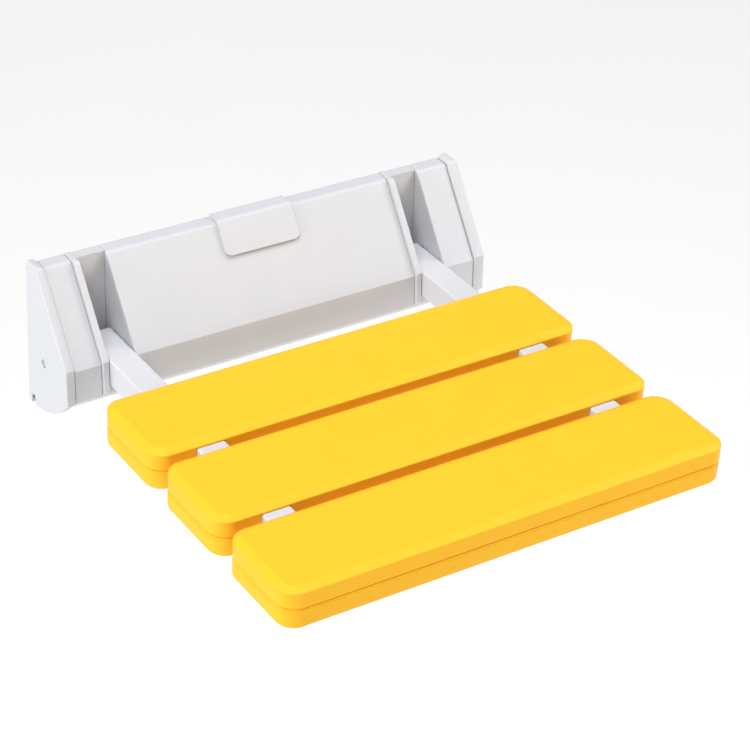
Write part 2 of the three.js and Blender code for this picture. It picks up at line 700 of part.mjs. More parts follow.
function armTube(side) {
  const tube = cut(
    bar(side, [ARM_FRONT, ARM_REAR], ARM_WIDTH, ARM_HEIGHT, ARM_CORNER),
    bar(
      side,
      [ARM_FRONT - OVERSHOOT, ARM_REAR + OVERSHOOT],
      ARM_WIDTH - 2 * ARM_WALL,
      ARM_HEIGHT - 2 * ARM_WALL,
      0.6,
    ),
  );
  const across = span(side, SLOT_CENTRE - ARM_WIDTH, SLOT_CENTRE + ARM_WIDTH);
  const bushHole = rodX(across, BUSH_RADIUS + GAP, PIVOT);
  const screwHoles = Array.from({ length: SLAT_COUNT }, (_, index) => rodZ(
    [ARM_TOP - ARM_HEIGHT - OVERSHOOT, ARM_MIDDLE],
    SCREW_RADIUS + GAP,
    side * SLOT_CENTRE,
    slatCentre(index),
  ));
  return cut(tube, bushHole, ...screwHoles);
}

// The nylon block that closes the arm's rear end and rounds it about the pivot
function rearPlug(side) {
  const inset = 2 * (ARM_WALL + GAP);
  const head = bar(
    side,
    [ARM_REAR + GAP, PIVOT.y + TAIL_RADIUS + OVERSHOOT],
    ARM_WIDTH,
    ARM_HEIGHT,
    ARM_CORNER,
  );
  const across = span(side, SLOT_CENTRE - ARM_WIDTH, SLOT_CENTRE + ARM_WIDTH);
  const rounded = head.intersect(rodX(across, TAIL_RADIUS, PIVOT, 2 * FINE));
  const stem = bar(
    side,
    [PIVOT.y - REAR_PLUG_REACH, ARM_REAR + GAP + OVERLAP],
    ARM_WIDTH - inset,
    ARM_HEIGHT - inset,
    0.4,
  );
  return cut(join(rounded, stem), rodX(across, BUSH_RADIUS + GAP, PIVOT));
}

function frontPlug(side) {
  const inset = 2 * (ARM_WALL + GAP);
  const flangeFace = ARM_FRONT - GAP;
  return join(
    bar(side, [flangeFace - FRONT_PLUG_FLANGE, flangeFace], ARM_WIDTH, ARM_HEIGHT, ARM_CORNER),
    bar(
      side,
      [flangeFace - OVERLAP, flangeFace + FRONT_PLUG_LENGTH],
      ARM_WIDTH - inset,
      ARM_HEIGHT - inset,
      0.4,
    ),
  );
}

// ---------------------------------------------------------------- slats

// Every slat is made round its own centre, and its group places it
const shellScrewPlaces = [-1, 1].flatMap((side) => SHELL_SCREW_X.map((x) => side * x));

const slatOutline = (inset) => roundedRectangle(
  SLAT_WIDTH - 2 * inset,
  SLAT_DEPTH - 2 * inset,
  SLAT_CORNER - inset,
);

// The room that the two arms need through a slat, between two heights. It ends at the arms'
// front ends, so the first two slats are open at both edges and the front slat only at its rear.
function armRoom(index, [z0, z1]) {
  const half = ARM_WIDTH / 2 + GAP;
  const armEnd = ARM_FRONT - 2 * GAP - FRONT_PLUG_FLANGE - slatCentre(index);
  return [-1, 1].map((side) => block(
    span(side, SLOT_CENTRE - half, SLOT_CENTRE + half),
    [Math.max(armEnd, -SLAT_DEPTH), SLAT_DEPTH],
    [z0, z1],
  ));
}

// Ribs across a slat, between its front and rear walls
function slatRibs([z0, z1]) {
  const half = SLAT_DEPTH / 2 - SLAT_WALL / 2;
  return SLAT_RIB_X.map((x) => (
    block([x - SLAT_RIB / 2, x + SLAT_RIB / 2], [-half, half], [z0, z1])
  ));
}

function slatUpper(index) {
  const low = SLAT_PARTING + GAP / 2;
  const ceiling = SLAT_TOP - SLAT_WALL;
  const bevel = { ...TOP_BEVEL, segments: 2 };
  const keep = block(
    [-SLAT_WIDTH, SLAT_WIDTH],
    [-SLAT_DEPTH, SLAT_DEPTH],
    [low, SLAT_TOP + OVERSHOOT],
  );
  const outer = extrudeZ(slatOutline(0), [low - 2 * OVERSHOOT, SLAT_TOP], bevel).intersect(keep);
  const cavity = extrudeZ(slatOutline(SLAT_WALL), [low - 2 * OVERSHOOT, ceiling], bevel);
  const bosses = shellScrewPlaces.map((x) => (
    rodZ([low, ceiling + OVERLAP], SHELL_BOSS_RADIUS, x, SHELL_SCREW_Y)
  ));
  const pilots = shellScrewPlaces.map((x) => (
    rodZ([low - OVERSHOOT, SHELL_SCREW_TIP + GAP], SCREW_RADIUS + GAP, x, SHELL_SCREW_Y)
  ));
  const ribs = slatRibs([low + UPPER_RIB_START, ceiling + OVERLAP]);
  return cut(
    join(cut(outer, cavity), ...ribs, ...bosses),
    ...armRoom(index, [low - OVERSHOOT, ARM_TOP + GAP]),
    ...pilots,
  );
}

function slatLower(index) {
  const high = SLAT_PARTING - GAP / 2;
  const rim = high - TONGUE_HEIGHT;
  const floor = SLAT_BOTTOM + SLAT_WALL;
  const armBottom = ARM_TOP - ARM_HEIGHT;
  const bevel = { ...BOTTOM_BEVEL, segments: 2 };
  const keep = block(
    [-SLAT_WIDTH, SLAT_WIDTH],
    [-SLAT_DEPTH, SLAT_DEPTH],
    [SLAT_BOTTOM - OVERSHOOT, rim],
  );
  const outer = extrudeZ(slatOutline(0), [SLAT_BOTTOM, rim + 2 * OVERSHOOT], bevel).intersect(keep);
  const tongue = extrudeZ(slatOutline(TONGUE_INSET), [rim - OVERLAP, high]);
  const cavityBevel = { size: 2.4, thickness: 2.4, segments: 1 };
  const cavity = extrudeZ(slatOutline(SLAT_WALL), [floor, high + 2 * OVERSHOOT], cavityBevel);
  const bosses = shellScrewPlaces.map((x) => (
    rodZ([floor - OVERLAP, high], SHELL_BOSS_RADIUS, x, SHELL_SCREW_Y)
  ));
  const pads = [-1, 1].map((side) => {
    const x = side * SLOT_CENTRE;
    return block(
      [x - ARM_PAD.x / 2, x + ARM_PAD.x / 2],
      [-ARM_PAD.y / 2, ARM_PAD.y / 2],
      [floor - OVERLAP, armBottom - GAP],
    );
  });
  const head = SCREW_HEAD_RADIUS + GAP;
  const shank = SCREW_RADIUS + GAP;
  const below = SLAT_BOTTOM - OVERSHOOT;
  const shellHoles = shellScrewPlaces.flatMap((x) => [
    rodZ([below, SHELL_SCREW_SEAT + GAP], head, x, SHELL_SCREW_Y),
    rodZ([below, high + OVERSHOOT], shank, x, SHELL_SCREW_Y),
  ]);
  const armHoles = [-1, 1].flatMap((side) => [
    rodZ([below, ARM_SCREW_SEAT + GAP], head, side * SLOT_CENTRE, 0),
    rodZ([below, high + OVERSHOOT], shank, side * SLOT_CENTRE, 0),
  ]);
  const ribs = slatRibs([floor - OVERLAP, armBottom + LOWER_RIB_RISE]);
  return cut(
    join(cut(join(outer, tongue), cavity), ...ribs, ...bosses, ...pads),
    ...armRoom(index, [armBottom - GAP, high + OVERSHOOT]),
    ...shellHoles,
    ...armHoles,
  );
}

// ---------------------------------------------------------------- assembly

const SIDES = [[-1, 'left'], [1, 'right']];

function add(group, name, solid, material, place = [0, 0, 0]) {
  const geometry = solid.isBufferGeometry ? solid : toGeometry(solid);
  const mesh = new THREE.Mesh(geometry, new THREE.MeshStandardMaterial(material));
  mesh.name = name;
  mesh.position.set(...place);
  group.add(mesh);
  return mesh;
}

function housing() {
  const group = new THREE.Group();
  add(group, 'wall_plate', wallPlate(), ZINC);
  add(group, 'centre_cover', centreCover(), WHITE_PLASTIC);
  add(group, 'badge_tab', badgeTab(), WHITE_PLASTIC);
  const screw = toGeometry(bracketScrew());
  const bracket = toGeometry(hingeBracket());
  SIDES.forEach(([side, word]) => {
    add(group, `end_cap_${word}`, endCap(side), WHITE_PLASTIC);
    add(group, `end_section_${word}`, endSection(side), WHITE_PLASTIC);
    add(group, `hinge_bracket_${word}`, bracket, WHITE_PLASTIC, [side * SLOT_CENTRE, 0, 0]);
    add(group, `pivot_pin_${word}`, pivotPin(side), STEEL);
    add(group, `pin_circlip_${word}`, circlip(side), STEEL);
    SCREW_PAD_Z.forEach((z, index) => {
      const level = index ? 'upper' : 'lower';
      add(group, `bracket_screw_${word}_${level}`, screw, STEEL, [side * SLOT_CENTRE, 0, z]);
    });
  });
  return group;
}

function arms() {
  const group = new THREE.Group();
  SIDES.forEach(([side, word]) => {
    add(group, `arm_${word}`, armTube(side), WHITE_ENAMEL);
    add(group, `arm_rear_plug_${word}`, rearPlug(side), NYLON);
    add(group, `arm_front_plug_${word}`, frontPlug(side), BLACK_NYLON);
    add(group, `pivot_bush_${word}`, pivotBush(side), NYLON);
    add(group, `friction_washer_${word}_inner`, frictionWasher(side, -1), BLACK_NYLON);
    add(group, `friction_washer_${word}_outer`, frictionWasher(side, 1), BLACK_NYLON);
  });
  return group;
}

function slats() {
  const group = new THREE.Group();
  const shellScrew = toGeometry(slatScrew(SHELL_SCREW_TIP - SHELL_SCREW_SEAT));
  const armScrew = toGeometry(slatScrew(ARM_SCREW_TIP - ARM_SCREW_SEAT));
  for (let index = 0; index < SLAT_COUNT; index += 1) {
    const slat = new THREE.Group();
    const label = `slat_${index + 1}`;
    slat.position.y = slatCentre(index);
    add(slat, `${label}_upper`, slatUpper(index), YELLOW_PLASTIC);
    add(slat, `${label}_lower`, slatLower(index), YELLOW_PLASTIC);
    shellScrewPlaces.forEach((x, place) => {
      const name = `${label}_screw_${place + 1}`;
      add(slat, name, shellScrew, STEEL, [x, SHELL_SCREW_Y, SHELL_SCREW_SEAT]);
    });
    SIDES.forEach(([side, word]) => {
      const name = `${label}_arm_screw_${word}`;
      add(slat, name, armScrew, STEEL, [side * SLOT_CENTRE, 0, ARM_SCREW_SEAT]);
    });
    group.add(slat);
  }
  return group;
}

const seat = new THREE.Group();
seat.add(housing(), arms(), slats());
seat.position.z = -ORIGIN_HEIGHT;

export default seat;
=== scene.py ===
"""Looks of the wall-mounted folding shower seat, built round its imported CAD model.

Frame: +X to the right along the wall, +Y into the wall, +Z up, metres. Every shell is built
again here with its real radii, seams and grooves, and stands for the plain CAD node in its place.
"""

import json
import math

import bmesh
import bpy
from mathutils import Matrix, Vector


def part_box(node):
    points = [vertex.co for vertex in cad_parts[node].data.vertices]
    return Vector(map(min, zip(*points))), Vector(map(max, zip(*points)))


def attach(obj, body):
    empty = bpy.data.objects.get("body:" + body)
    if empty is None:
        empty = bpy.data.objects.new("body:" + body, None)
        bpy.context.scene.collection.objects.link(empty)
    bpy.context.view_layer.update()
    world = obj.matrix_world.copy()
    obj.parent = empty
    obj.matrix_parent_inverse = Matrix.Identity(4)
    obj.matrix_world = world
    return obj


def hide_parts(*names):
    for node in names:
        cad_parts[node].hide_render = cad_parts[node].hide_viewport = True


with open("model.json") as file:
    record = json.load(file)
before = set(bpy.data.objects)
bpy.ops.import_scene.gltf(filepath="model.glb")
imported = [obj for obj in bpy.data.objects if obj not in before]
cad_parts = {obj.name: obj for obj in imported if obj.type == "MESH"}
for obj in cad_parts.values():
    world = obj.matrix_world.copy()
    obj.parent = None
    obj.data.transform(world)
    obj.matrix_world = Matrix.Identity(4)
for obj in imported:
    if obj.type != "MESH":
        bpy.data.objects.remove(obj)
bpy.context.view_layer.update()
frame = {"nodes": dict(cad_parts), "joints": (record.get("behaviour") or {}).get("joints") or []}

MM = 0.001
PAST = 5 * MM                            # how far a cutter runs on past what it cuts
OVERLAP = 1 * MM                         # how far joined parts run into each other

# ------------------------------------------------------------------ sizes taken from the frame

COVER_LOW, COVER_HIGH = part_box("centre_cover")
_, CAP_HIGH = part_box("end_cap_right")
ARM_LOW, ARM_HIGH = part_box("arm_right")
SIDES = ((-1, "left"), (1, "right"))
SLAT_COUNT = 3
SLAT_SCREWS = 4
HALF_WIDTH = CAP_HIGH.x
SLOT_CENTRE = (ARM_LOW.x + ARM_HIGH.x) / 2
PIVOT = Vector(frame["joints"][0]["pos_m"])

# ------------------------------------------------------------------ housing section

BODY_HEIGHT = 77 * MM
BASE_Z = COVER_HIGH.z - BODY_HEIGHT      # the bottom edge of the front fascia
TOP_DEPTH = 10.5 * MM
FOLD_HEIGHT = 22 * MM
FOLD_DEPTH = 51.4 * MM
FASCIA_DEPTH = -COVER_LOW.y
BELLY_CENTRE = (-1 * MM, 46 * MM)
BELLY_RADIUS = 69.3 * MM
BODY_WALL = 2.2 * MM
TOP_FOLD_RADIUS = 4 * MM
LOWER_FOLD_RADIUS = 1.2 * MM

CAP_PROUD = {"top": 2.2 * MM, "slant": 3.2 * MM, "fascia": 2.2 * MM, "belly": 1.7 * MM}
CHEEK_PROUD = {"top": 0.5 * MM, "slant": 3.1 * MM, "fascia": 2.2 * MM, "belly": 0.0}
FLUSH = {"top": 0.0, "slant": 0.0, "fascia": 0.0, "belly": 0.0}

CAP_WIDTH = 7 * MM
CAP_SHOULDER = 4 * MM                    # width of the rounded shoulder inside the cap's band
CAP_SHOULDER_DROP = 1.8 * MM
CAP_EDGE = 0.9 * MM
CAP_NECK = 0.1 * MM                      # width of the seam between a cap and its neighbour
CAP_NECK_DEPTH = 0.8 * MM
CAP_FACE = 2.8 * MM
CAP_WALL = 3.2 * MM
CAP_BOSS_RADIUS = 8 * MM
PIN_WINDOW_RADIUS = 3 * MM               # the hole in a cap's outer face that the pin shows in
PIN_WINDOW_DEPTH = 0.6 * MM
NOTCH_Y = -6.85 * MM                     # the notch at a cap's foot
NOTCH_HALF = 2.8 * MM
NOTCH_TOP = -17.6 * MM                   # from the fascia's bottom edge
NOTCH_SKIN = 1 * MM                      # wall left round the notch in front of its room
NOTCH_ROOM = 2 * MM                      # how much wider and higher the room is
NOTCH_ROOM_DROP = 4.8 * MM               # from the notch's top to the room's floor

SLOT_HALF = 10.25 * MM
CHEEK_WIDTH = 4.2 * MM
CHEEK_EDGE = 0.5 * MM
LINING_INSET = 0.05 * MM                 # keeps the lining's belly inside the cheek's
SEAM = 0.3 * MM                          # gap between neighbouring pieces
SLOT_EDGE = 0.9 * MM                     # radius of the cover's edge that is a slot's right wall
SEAM_EDGE = 0.2 * MM
WEB = 2.4 * MM
SLOT_BACK_TOP = 8.2 * MM                 # from the wall to the slot's back, at its top
SLOT_BACK_BOTTOM = 10.9 * MM
SLOT_LIP = 3 * MM
SLOT_FLOOR = 2.5 * MM

PLATE = 2.5 * MM
PLATE_CORNER = 6 * MM
PLATE_ROOM = (-20.7 * MM, 74.7 * MM)     # heights of the brackets' recess for the plate
WALL_HOLE_X = 82 * MM
WALL_HOLE_HEIGHTS = (-4 * MM, 58 * MM)
WALL_HOLE_RADIUS = 3 * MM

BADGE_PROUD = 2.2 * MM
BADGE_GAP = 0.15 * MM
BADGE_BACK = 0.6 * MM                    # from the wall to the tab's rear end
BADGE_CORNER = 4.5 * MM
BADGE_EDGE = 0.7 * MM
BADGE_MASK = 30 * MM                     # how far the mask of the tab's outline reaches

# ------------------------------------------------------------------ hinge

PIN_RADIUS = 4 * MM
PIN_BORE_RADIUS = 4.1 * MM
PIN_GROOVE_RADIUS = 3.2 * MM
PIN_CHAMFER = 0.7 * MM
PIN_DOME = 0.5 * MM
CIRCLIP_PLAY = 0.1 * MM
BUSH_RADIUS = 6 * MM
BUSH_HOLE_RADIUS = 6.2 * MM
WASHER_RADIUS = 9 * MM
WASHER_HOLE_RADIUS = 4.2 * MM
WASHER_RECESS = 1 * MM
WASHER_SEAT_RADIUS = 9.4 * MM

BRACKET_SCREW = {"head_radius": 3.7 * MM, "head": 1.9 * MM, "shank": 1.9 * MM}
SLAT_SCREW = {"head_radius": 3.4 * MM, "head": 2 * MM, "shank": 1.6 * MM}
THREAD_PITCH = 0.8 * MM
THREAD_DEPTH = 0.28 * MM
RECESS_HALF = 0.45 * MM                  # half the width of a screw's cross recess
RECESS_TURN = math.radians(20)

# ------------------------------------------------------------------ seat

ARM_CORNER = 1.5 * MM
ARM_WALL = 1.8 * MM
ARM_EDGE = 0.2 * MM
ARM_INNER_CORNER = 0.5 * MM
ARM_CLEARANCE = 0.3 * MM                 # between an arm and the slat round it
PLUG_CORNER = 0.4 * MM
PLUG_EDGE = 0.5 * MM
PLUG_FLANGE = 2 * MM

SLAT_CORNER = 12.4 * MM
SLAT_WALL = 2.6 * MM
SLAT_LEVEL = 9 * MM                      # from a slat's edge to where its face runs level
SLAT_CHAMFER = (4.7 * MM, 2.6 * MM)
SLAT_ROUND = 4 * MM                      # radius of the lower shell's bottom edge
SLAT_STEP = 0.5 * MM                     # how far the lower shell's rim stands back
SLAT_STEP_DROP = 2.3 * MM
SLAT_TONGUE = 0.7 * MM
HAUNCH_HEIGHT = 2 * MM                   # the slope between a shell's wall and its inner face
HAUNCH_INSET = 5 * MM
INNER_LEVEL = 8 * MM                     # from a slat's edge to where its inner face is capped
BOSS_RADIUS = 5.4 * MM
PAD_RADIUS = 7 * MM
WELL_RADIUS = 3.8 * MM
WELL_EDGE = 0.5 * MM
SHANK_HOLE_RADIUS = 1.9 * MM
SHANK_HOLE_LENGTH = 30 * MM
PARTING_HALF = 0.42 * MM                 # half the height of the groove between a slat's shells
PARTING_DEPTH = 1.3 * MM


# ------------------------------------------------------------------ outlines


def fillet(points, radii, steps=6):
    """The closed polygon with its corners turned into arcs; radii[i] rounds points[i]."""
    rounded = []
    count = len(points)
    for i, corner in enumerate(points):
        corner = Vector(corner)
        if not radii[i]:
            rounded.append(corner)
            continue
        before = (Vector(points[i - 1]) - corner).normalized()
        after = (Vector(points[(i + 1) % count]) - corner).normalized()
        half = before.angle(after) / 2
        middle = (before + after).normalized()
        centre = corner + middle * (radii[i] / math.sin(half))
        start = corner + before * (radii[i] / math.tan(half)) - centre
        outwards = -middle
        turn = math.pi - 2 * half
        if start.x * outwards.y - start.y * outwards.x < 0:
            turn = -turn
        for k in range(steps + 1):
            rounded.append(centre + Matrix.Rotation(turn * k / steps, 2) @ start)
    return rounded


def crossing(point_a, along_a, point_b, along_b):
    """Where two lines in a plane cross."""
    gap = point_b - point_a
    share = (gap.x * along_b.y - gap.y * along_b.x) / (
        along_a.x * along_b.y - along_a.y * along_b.x
    )
    return point_a + along_a * share


TOP_EDGE = Vector((-TOP_DEPTH, BODY_HEIGHT))
FOLD_EDGE = Vector((-FOLD_DEPTH, FOLD_HEIGHT))
SLANT = (FOLD_EDGE - TOP_EDGE).normalized()
SLANT_NORMAL = Vector((SLANT.y, -SLANT.x))
FASCIA = (Vector((-FASCIA_DEPTH, 0)) - FOLD_EDGE).normalized()
FASCIA_NORMAL = Vector((FASCIA.y, -FASCIA.x))


def housing_outline(grow, extra=0.0, back=0.0, belly_steps=30):
    """The housing's section as (y, height) points, each face grown outwards by a distance.

    It runs from the wall along the top, down the front and round the belly. back pushes the two
    ends past the wall, for a cutter.
    """
    top = BODY_HEIGHT + grow["top"] + extra
    on_slant = TOP_EDGE + SLANT_NORMAL * (grow["slant"] + extra)
    on_fascia = FOLD_EDGE + FASCIA_NORMAL * (grow["fascia"] + extra)
    top_corner = crossing(Vector((0, top)), Vector((1, 0)), on_slant, SLANT)
    fold_corner = crossing(on_slant, SLANT, on_fascia, FASCIA)
    centre = Vector(BELLY_CENTRE)
    radius = BELLY_RADIUS + grow["belly"] + extra
    offset = on_fascia - centre
    half = offset.dot(FASCIA)
    reach = -half + math.sqrt(half * half - offset.length_squared + radius * radius)
    low_corner = on_fascia + FASCIA * reach
    start = math.atan2(low_corner.y - centre.y, low_corner.x - centre.x)
    end = math.atan2(-math.sqrt(radius**2 - centre.x**2), -centre.x) + 2 * math.pi
    turn = (end - start) % (2 * math.pi)
    corners = [Vector((back, top)), top_corner, fold_corner, low_corner]
    points = fillet(corners, [0, TOP_FOLD_RADIUS, LOWER_FOLD_RADIUS, 0], 8)
    for k in range(1, belly_steps + 1):
        angle = start + turn * k / belly_steps
        points.append(centre + Vector((math.cos(angle), math.sin(angle))) * radius)
    points[-1].x = 0.0
    if back:
        points.append(Vector((back, centre.y - radius)))
    return points


def rounded_rectangle(half_x, half_y, radius, steps=10):
    """A rectangle about the origin, with round corners."""
    corners = [(-half_x, -half_y), (half_x, -half_y), (half_x, half_y), (-half_x, half_y)]
    return fillet(corners, [radius] * 4, steps)


# ------------------------------------------------------------------ mesh making


def make_object(name, bm):
    """An object in the scene from a bmesh, with its normals outwards."""
    bmesh.ops.recalc_face_normals(bm, faces=bm.faces)
    mesh = bpy.data.meshes.new(name)
    bm.to_mesh(mesh)
    bm.free()
    piece = bpy.data.objects.new(name, mesh)
    bpy.context.scene.collection.objects.link(piece)
    return piece


def skin(name, rings, looped=False):
    """A skin over rings of equal length, closed by its end rings, or looped to the first ring."""
    bm = bmesh.new()
    rows = [[bm.verts.new(point) for point in ring] for ring in rings]
    count = len(rows[0])
    pairs = list(zip(rows, rows[1:]))
    if looped:
        pairs.append((rows[-1], rows[0]))
    else:
        bm.faces.new(list(reversed(rows[0])))
        bm.faces.new(rows[-1])
    for low, high in pairs:
        for i in range(count):
            j = (i + 1) % count
            bm.faces.new((low[i], low[j], high[j], high[i]))
    return make_object(name, bm)


def section(outline, x):
    """A housing outline, as points in space at x."""
    return [Vector((x, y, BASE_Z + height)) for y, height in outline]


def prism_x(name, outline, x0, x1):
    """A housing outline drawn out along X."""
    return skin(name, [section(outline, x0), section(outline, x1)])


def box(name, low, high):
    """A plain block between two corners, for joining and cutting."""
    bm = bmesh.new()
    bmesh.ops.create_cube(bm, size=1)
    size = Vector(high) - Vector(low)
    bmesh.ops.scale(bm, vec=size, verts=bm.verts)
    bmesh.ops.translate(bm, vec=(Vector(high) + Vector(low)) / 2, verts=bm.verts)
    return make_object(name, bm)


AXIS_TURNS = {
    "X": Matrix(((0, 0, 1), (1, 0, 0), (0, 1, 0))).to_4x4(),
    "-X": Matrix(((0, 0, -1), (1, 0, 0), (0, -1, 0))).to_4x4(),
    "Y": Matrix(((1, 0, 0), (0, 0, 1), (0, -1, 0))).to_4x4(),
    "-Y": Matrix(((1, 0, 0), (0, 0, -1), (0, 1, 0))).to_4x4(),
    "Z": Matrix.Identity(4),
}


def lathe(name, profile, axis, place, segments=48):
    """A turned piece from a profile of (radius, distance along the axis) points.

    An end at radius 0 closes the piece, and a profile with no such end closes on itself.
    """
    bm = bmesh.new()
    rows = []
    for radius, along in profile:
        if radius == 0:
            rows.append([bm.verts.new((0, 0, along))])
            continue
        ring = []
        for k in range(segments):
            angle = 2 * math.pi * k / segments
            point = (radius * math.cos(angle), radius * math.sin(angle), along)
            ring.append(bm.verts.new(point))
        rows.append(ring)
    pairs = list(zip(rows, rows[1:]))
    if len(rows[0]) > 1 and len(rows[-1]) > 1:
        pairs.append((rows[-1], rows[0]))
    for low, high in pairs:
        for k in range(segments):
            j = (k + 1) % segments
            near = [low[k % len(low)], low[j % len(low)]]
            far = [high[j % len(high)], high[k % len(high)]]
            face = list(dict.fromkeys(near + far))
            if len(face) > 2:
                bm.faces.new(face)
    turned = Matrix.Translation(Vector(place)) @ AXIS_TURNS[axis]
    bmesh.ops.transform(bm, matrix=turned, verts=bm.verts)
    return make_object(name, bm)


def rod(name, radius, axis, place, length, segments=48):
    """A plain cylinder from place along the axis, for joining and cutting."""
    profile = [(0, 0), (radius, 0), (radius, length), (0, length)]
    return lathe(name, profile, axis, place, segments)


def bake_modifiers(piece):
    """Puts the result of the piece's modifiers into its mesh."""
    graph = bpy.context.evaluated_depsgraph_get()
    graph.update()
    mesh = bpy.data.meshes.new_from_object(piece.evaluated_get(graph))
    piece.modifiers.clear()
    old = piece.data
    piece.data = mesh
    bpy.data.meshes.remove(old)
    return piece


def combine(piece, operation, *tools):
    """Joins the tools to the piece or cuts them from it, and removes them."""
    for tool in tools:
        modifier = piece.modifiers.new(operation.lower(), "BOOLEAN")
        modifier.operation = operation
        modifier.solver = "EXACT"
        modifier.object = tool
    bake_modifiers(piece)
    for tool in tools:
        mesh = tool.data
        bpy.data.objects.remove(tool)
        bpy.data.meshes.remove(mesh)
    return piece


def cut(piece, *tools):
    return combine(piece, "DIFFERENCE", *tools)


def join(piece, *tools):
    return combine(piece, "UNION", *tools)


def soften(piece, width=0.35 * MM, segments=2, angle=50):
    """Rounds the piece's sharp edges and shades the rest smooth."""
    bm = bmesh.new()
    bm.from_mesh(piece.data)
    bmesh.ops.remove_doubles(bm, verts=bm.verts, dist=1e-6)
    bmesh.ops.dissolve_degenerate(bm, edges=bm.edges, dist=1e-6)
    bm.to_mesh(piece.data)
    bm.free()
    if width:
        modifier = piece.modifiers.new("edges", "BEVEL")
        modifier.width = width
        modifier.segments = segments
        modifier.limit_method = "ANGLE"
        modifier.angle_limit = math.radians(angle)
        modifier.miter_outer = "MITER_ARC"
        modifier.use_clamp_overlap = True
        bake_modifiers(piece)
    return shade(piece)


def shade(piece, angle=32):
    """Shades the piece smooth, apart from its sharp edges."""
    piece.data.shade_smooth()
    piece.data.set_sharp_from_angle(angle=math.radians(angle))
    modifier = piece.modifiers.new("normals", "WEIGHTED_NORMAL")
    modifier.keep_sharp = True
    return piece


def finish_piece(piece, body, node, material):
    """Puts the piece on its body, in its CAD node's place, with its finish."""
    piece.data.materials.clear()
    piece.data.materials.append(MATERIALS[material])
    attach(piece, body)
    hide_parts(node)


# ------------------------------------------------------------------ materials


class Nodes:
    """A material's node tree, with short calls to add nodes and links."""

    def __init__(self, name):
        self.material = bpy.data.materials.new(name)
        self.material.use_nodes = True
        self.tree = self.material.node_tree
        self.shader = self.tree.nodes["Principled BSDF"]

    def add(self, kind, **values):
        node = self.tree.nodes.new(kind)
        for key, value in values.items():
            setattr(node, key, value)
        return node

    def link(self, output, socket):
        self.tree.links.new(output, socket)

    def coordinates(self, scale=(1, 1, 1)):
        """The piece's own coordinates, in metres, stretched."""
        place = self.add("ShaderNodeTexCoord")
        mapping = self.add("ShaderNodeMapping")
        mapping.inputs["Scale"].default_value = scale
        self.link(place.outputs["Object"], mapping.inputs["Vector"])
        return mapping.outputs["Vector"]

    def noise(self, scale, detail=3.0, stretch=(1, 1, 1)):
        texture = self.add("ShaderNodeTexNoise")
        texture.inputs["Scale"].default_value = scale
        texture.inputs["Detail"].default_value = detail
        self.link(self.coordinates(stretch), texture.inputs["Vector"])
        return texture.outputs["Fac"]

    def ramp(self, value, stops):
        """Maps a 0 to 1 value to colours; stops is a list of (position, colour)."""
        ramp = self.add("ShaderNodeValToRGB")
        elements = ramp.color_ramp.elements
        while len(elements) < len(stops):
            elements.new(0.5)
        for element, (position, colour) in zip(elements, stops):
            element.position = position
            element.color = (*colour, 1)
        self.link(value, ramp.inputs["Fac"])
        return ramp.outputs["Color"]

    def remap(self, value, low, high):
        """Spreads the middle of a noise value over low to high."""
        node = self.add("ShaderNodeMapRange")
        node.inputs["From Min"].default_value = 0.25
        node.inputs["From Max"].default_value = 0.75
        node.inputs["To Min"].default_value = low
        node.inputs["To Max"].default_value = high
        self.link(value, node.inputs["Value"])
        return node.outputs["Result"]

    def bump(self, height, distance, strength=1.0, under=None):
        node = self.add("ShaderNodeBump")
        node.inputs["Strength"].default_value = strength
        node.inputs["Distance"].default_value = distance
        self.link(height, node.inputs["Height"])
        if under:
            self.link(under, node.inputs["Normal"])
        return node.outputs["Normal"]


def shifted(colour, factor):
    """A lighter or darker version of a colour."""
    return tuple(min(1.0, channel * factor) for channel in colour)


def moulded_plastic(name, colour, roughness, specular=0.3):
    """Injection-moulded plastic: faint flow mottling, a fine eroded grain and uneven gloss."""
    nodes = Nodes(name)
    mottle = nodes.noise(38, 4)
    base = nodes.ramp(mottle, [(0.3, shifted(colour, 0.985)), (0.7, shifted(colour, 1.01))])
    nodes.link(base, nodes.shader.inputs["Base Color"])
    gloss = nodes.remap(nodes.noise(140, 3), roughness - 0.03, roughness + 0.03)
    nodes.link(gloss, nodes.shader.inputs["Roughness"])
    fine = nodes.bump(nodes.noise(1500, 2), 0.012 * MM, 0.5)
    broad = nodes.bump(nodes.noise(22, 1), 0.05 * MM, 0.35, under=fine)
    nodes.link(broad, nodes.shader.inputs["Normal"])
    nodes.shader.inputs["IOR"].default_value = 1.47
    nodes.shader.inputs["Specular IOR Level"].default_value = specular
    return nodes.material


def enamel(name, colour):
    """Powder coat on steel tube: a slight orange peel under a smooth film."""
    nodes = Nodes(name)
    tone = nodes.noise(30, 3)
    base = nodes.ramp(tone, [(0.3, shifted(colour, 0.985)), (0.7, shifted(colour, 1.0))])
    nodes.link(base, nodes.shader.inputs["Base Color"])
    peel = nodes.bump(nodes.noise(420, 2), 0.02 * MM, 0.5)
    nodes.link(peel, nodes.shader.inputs["Normal"])
    gloss = nodes.remap(nodes.noise(90, 2), 0.4, 0.48)
    nodes.link(gloss, nodes.shader.inputs["Roughness"])
    nodes.shader.inputs["Specular IOR Level"].default_value = 0.3
    return nodes.material


def metal(name, colour, roughness, stretch, scale):
    """Metal with drawn or turned marks along one direction."""
    nodes = Nodes(name)
    marks = nodes.noise(scale, 4, stretch)
    base = nodes.ramp(marks, [(0.3, shifted(colour, 0.9)), (0.7, shifted(colour, 1.05))])
    nodes.link(base, nodes.shader.inputs["Base Color"])
    gloss = nodes.remap(marks, roughness - 0.06, roughness + 0.08)
    nodes.link(gloss, nodes.shader.inputs["Roughness"])
    nodes.link(nodes.bump(marks, 0.006 * MM, 0.6), nodes.shader.inputs["Normal"])
    nodes.shader.inputs["Metallic"].default_value = 1.0
    return nodes.material


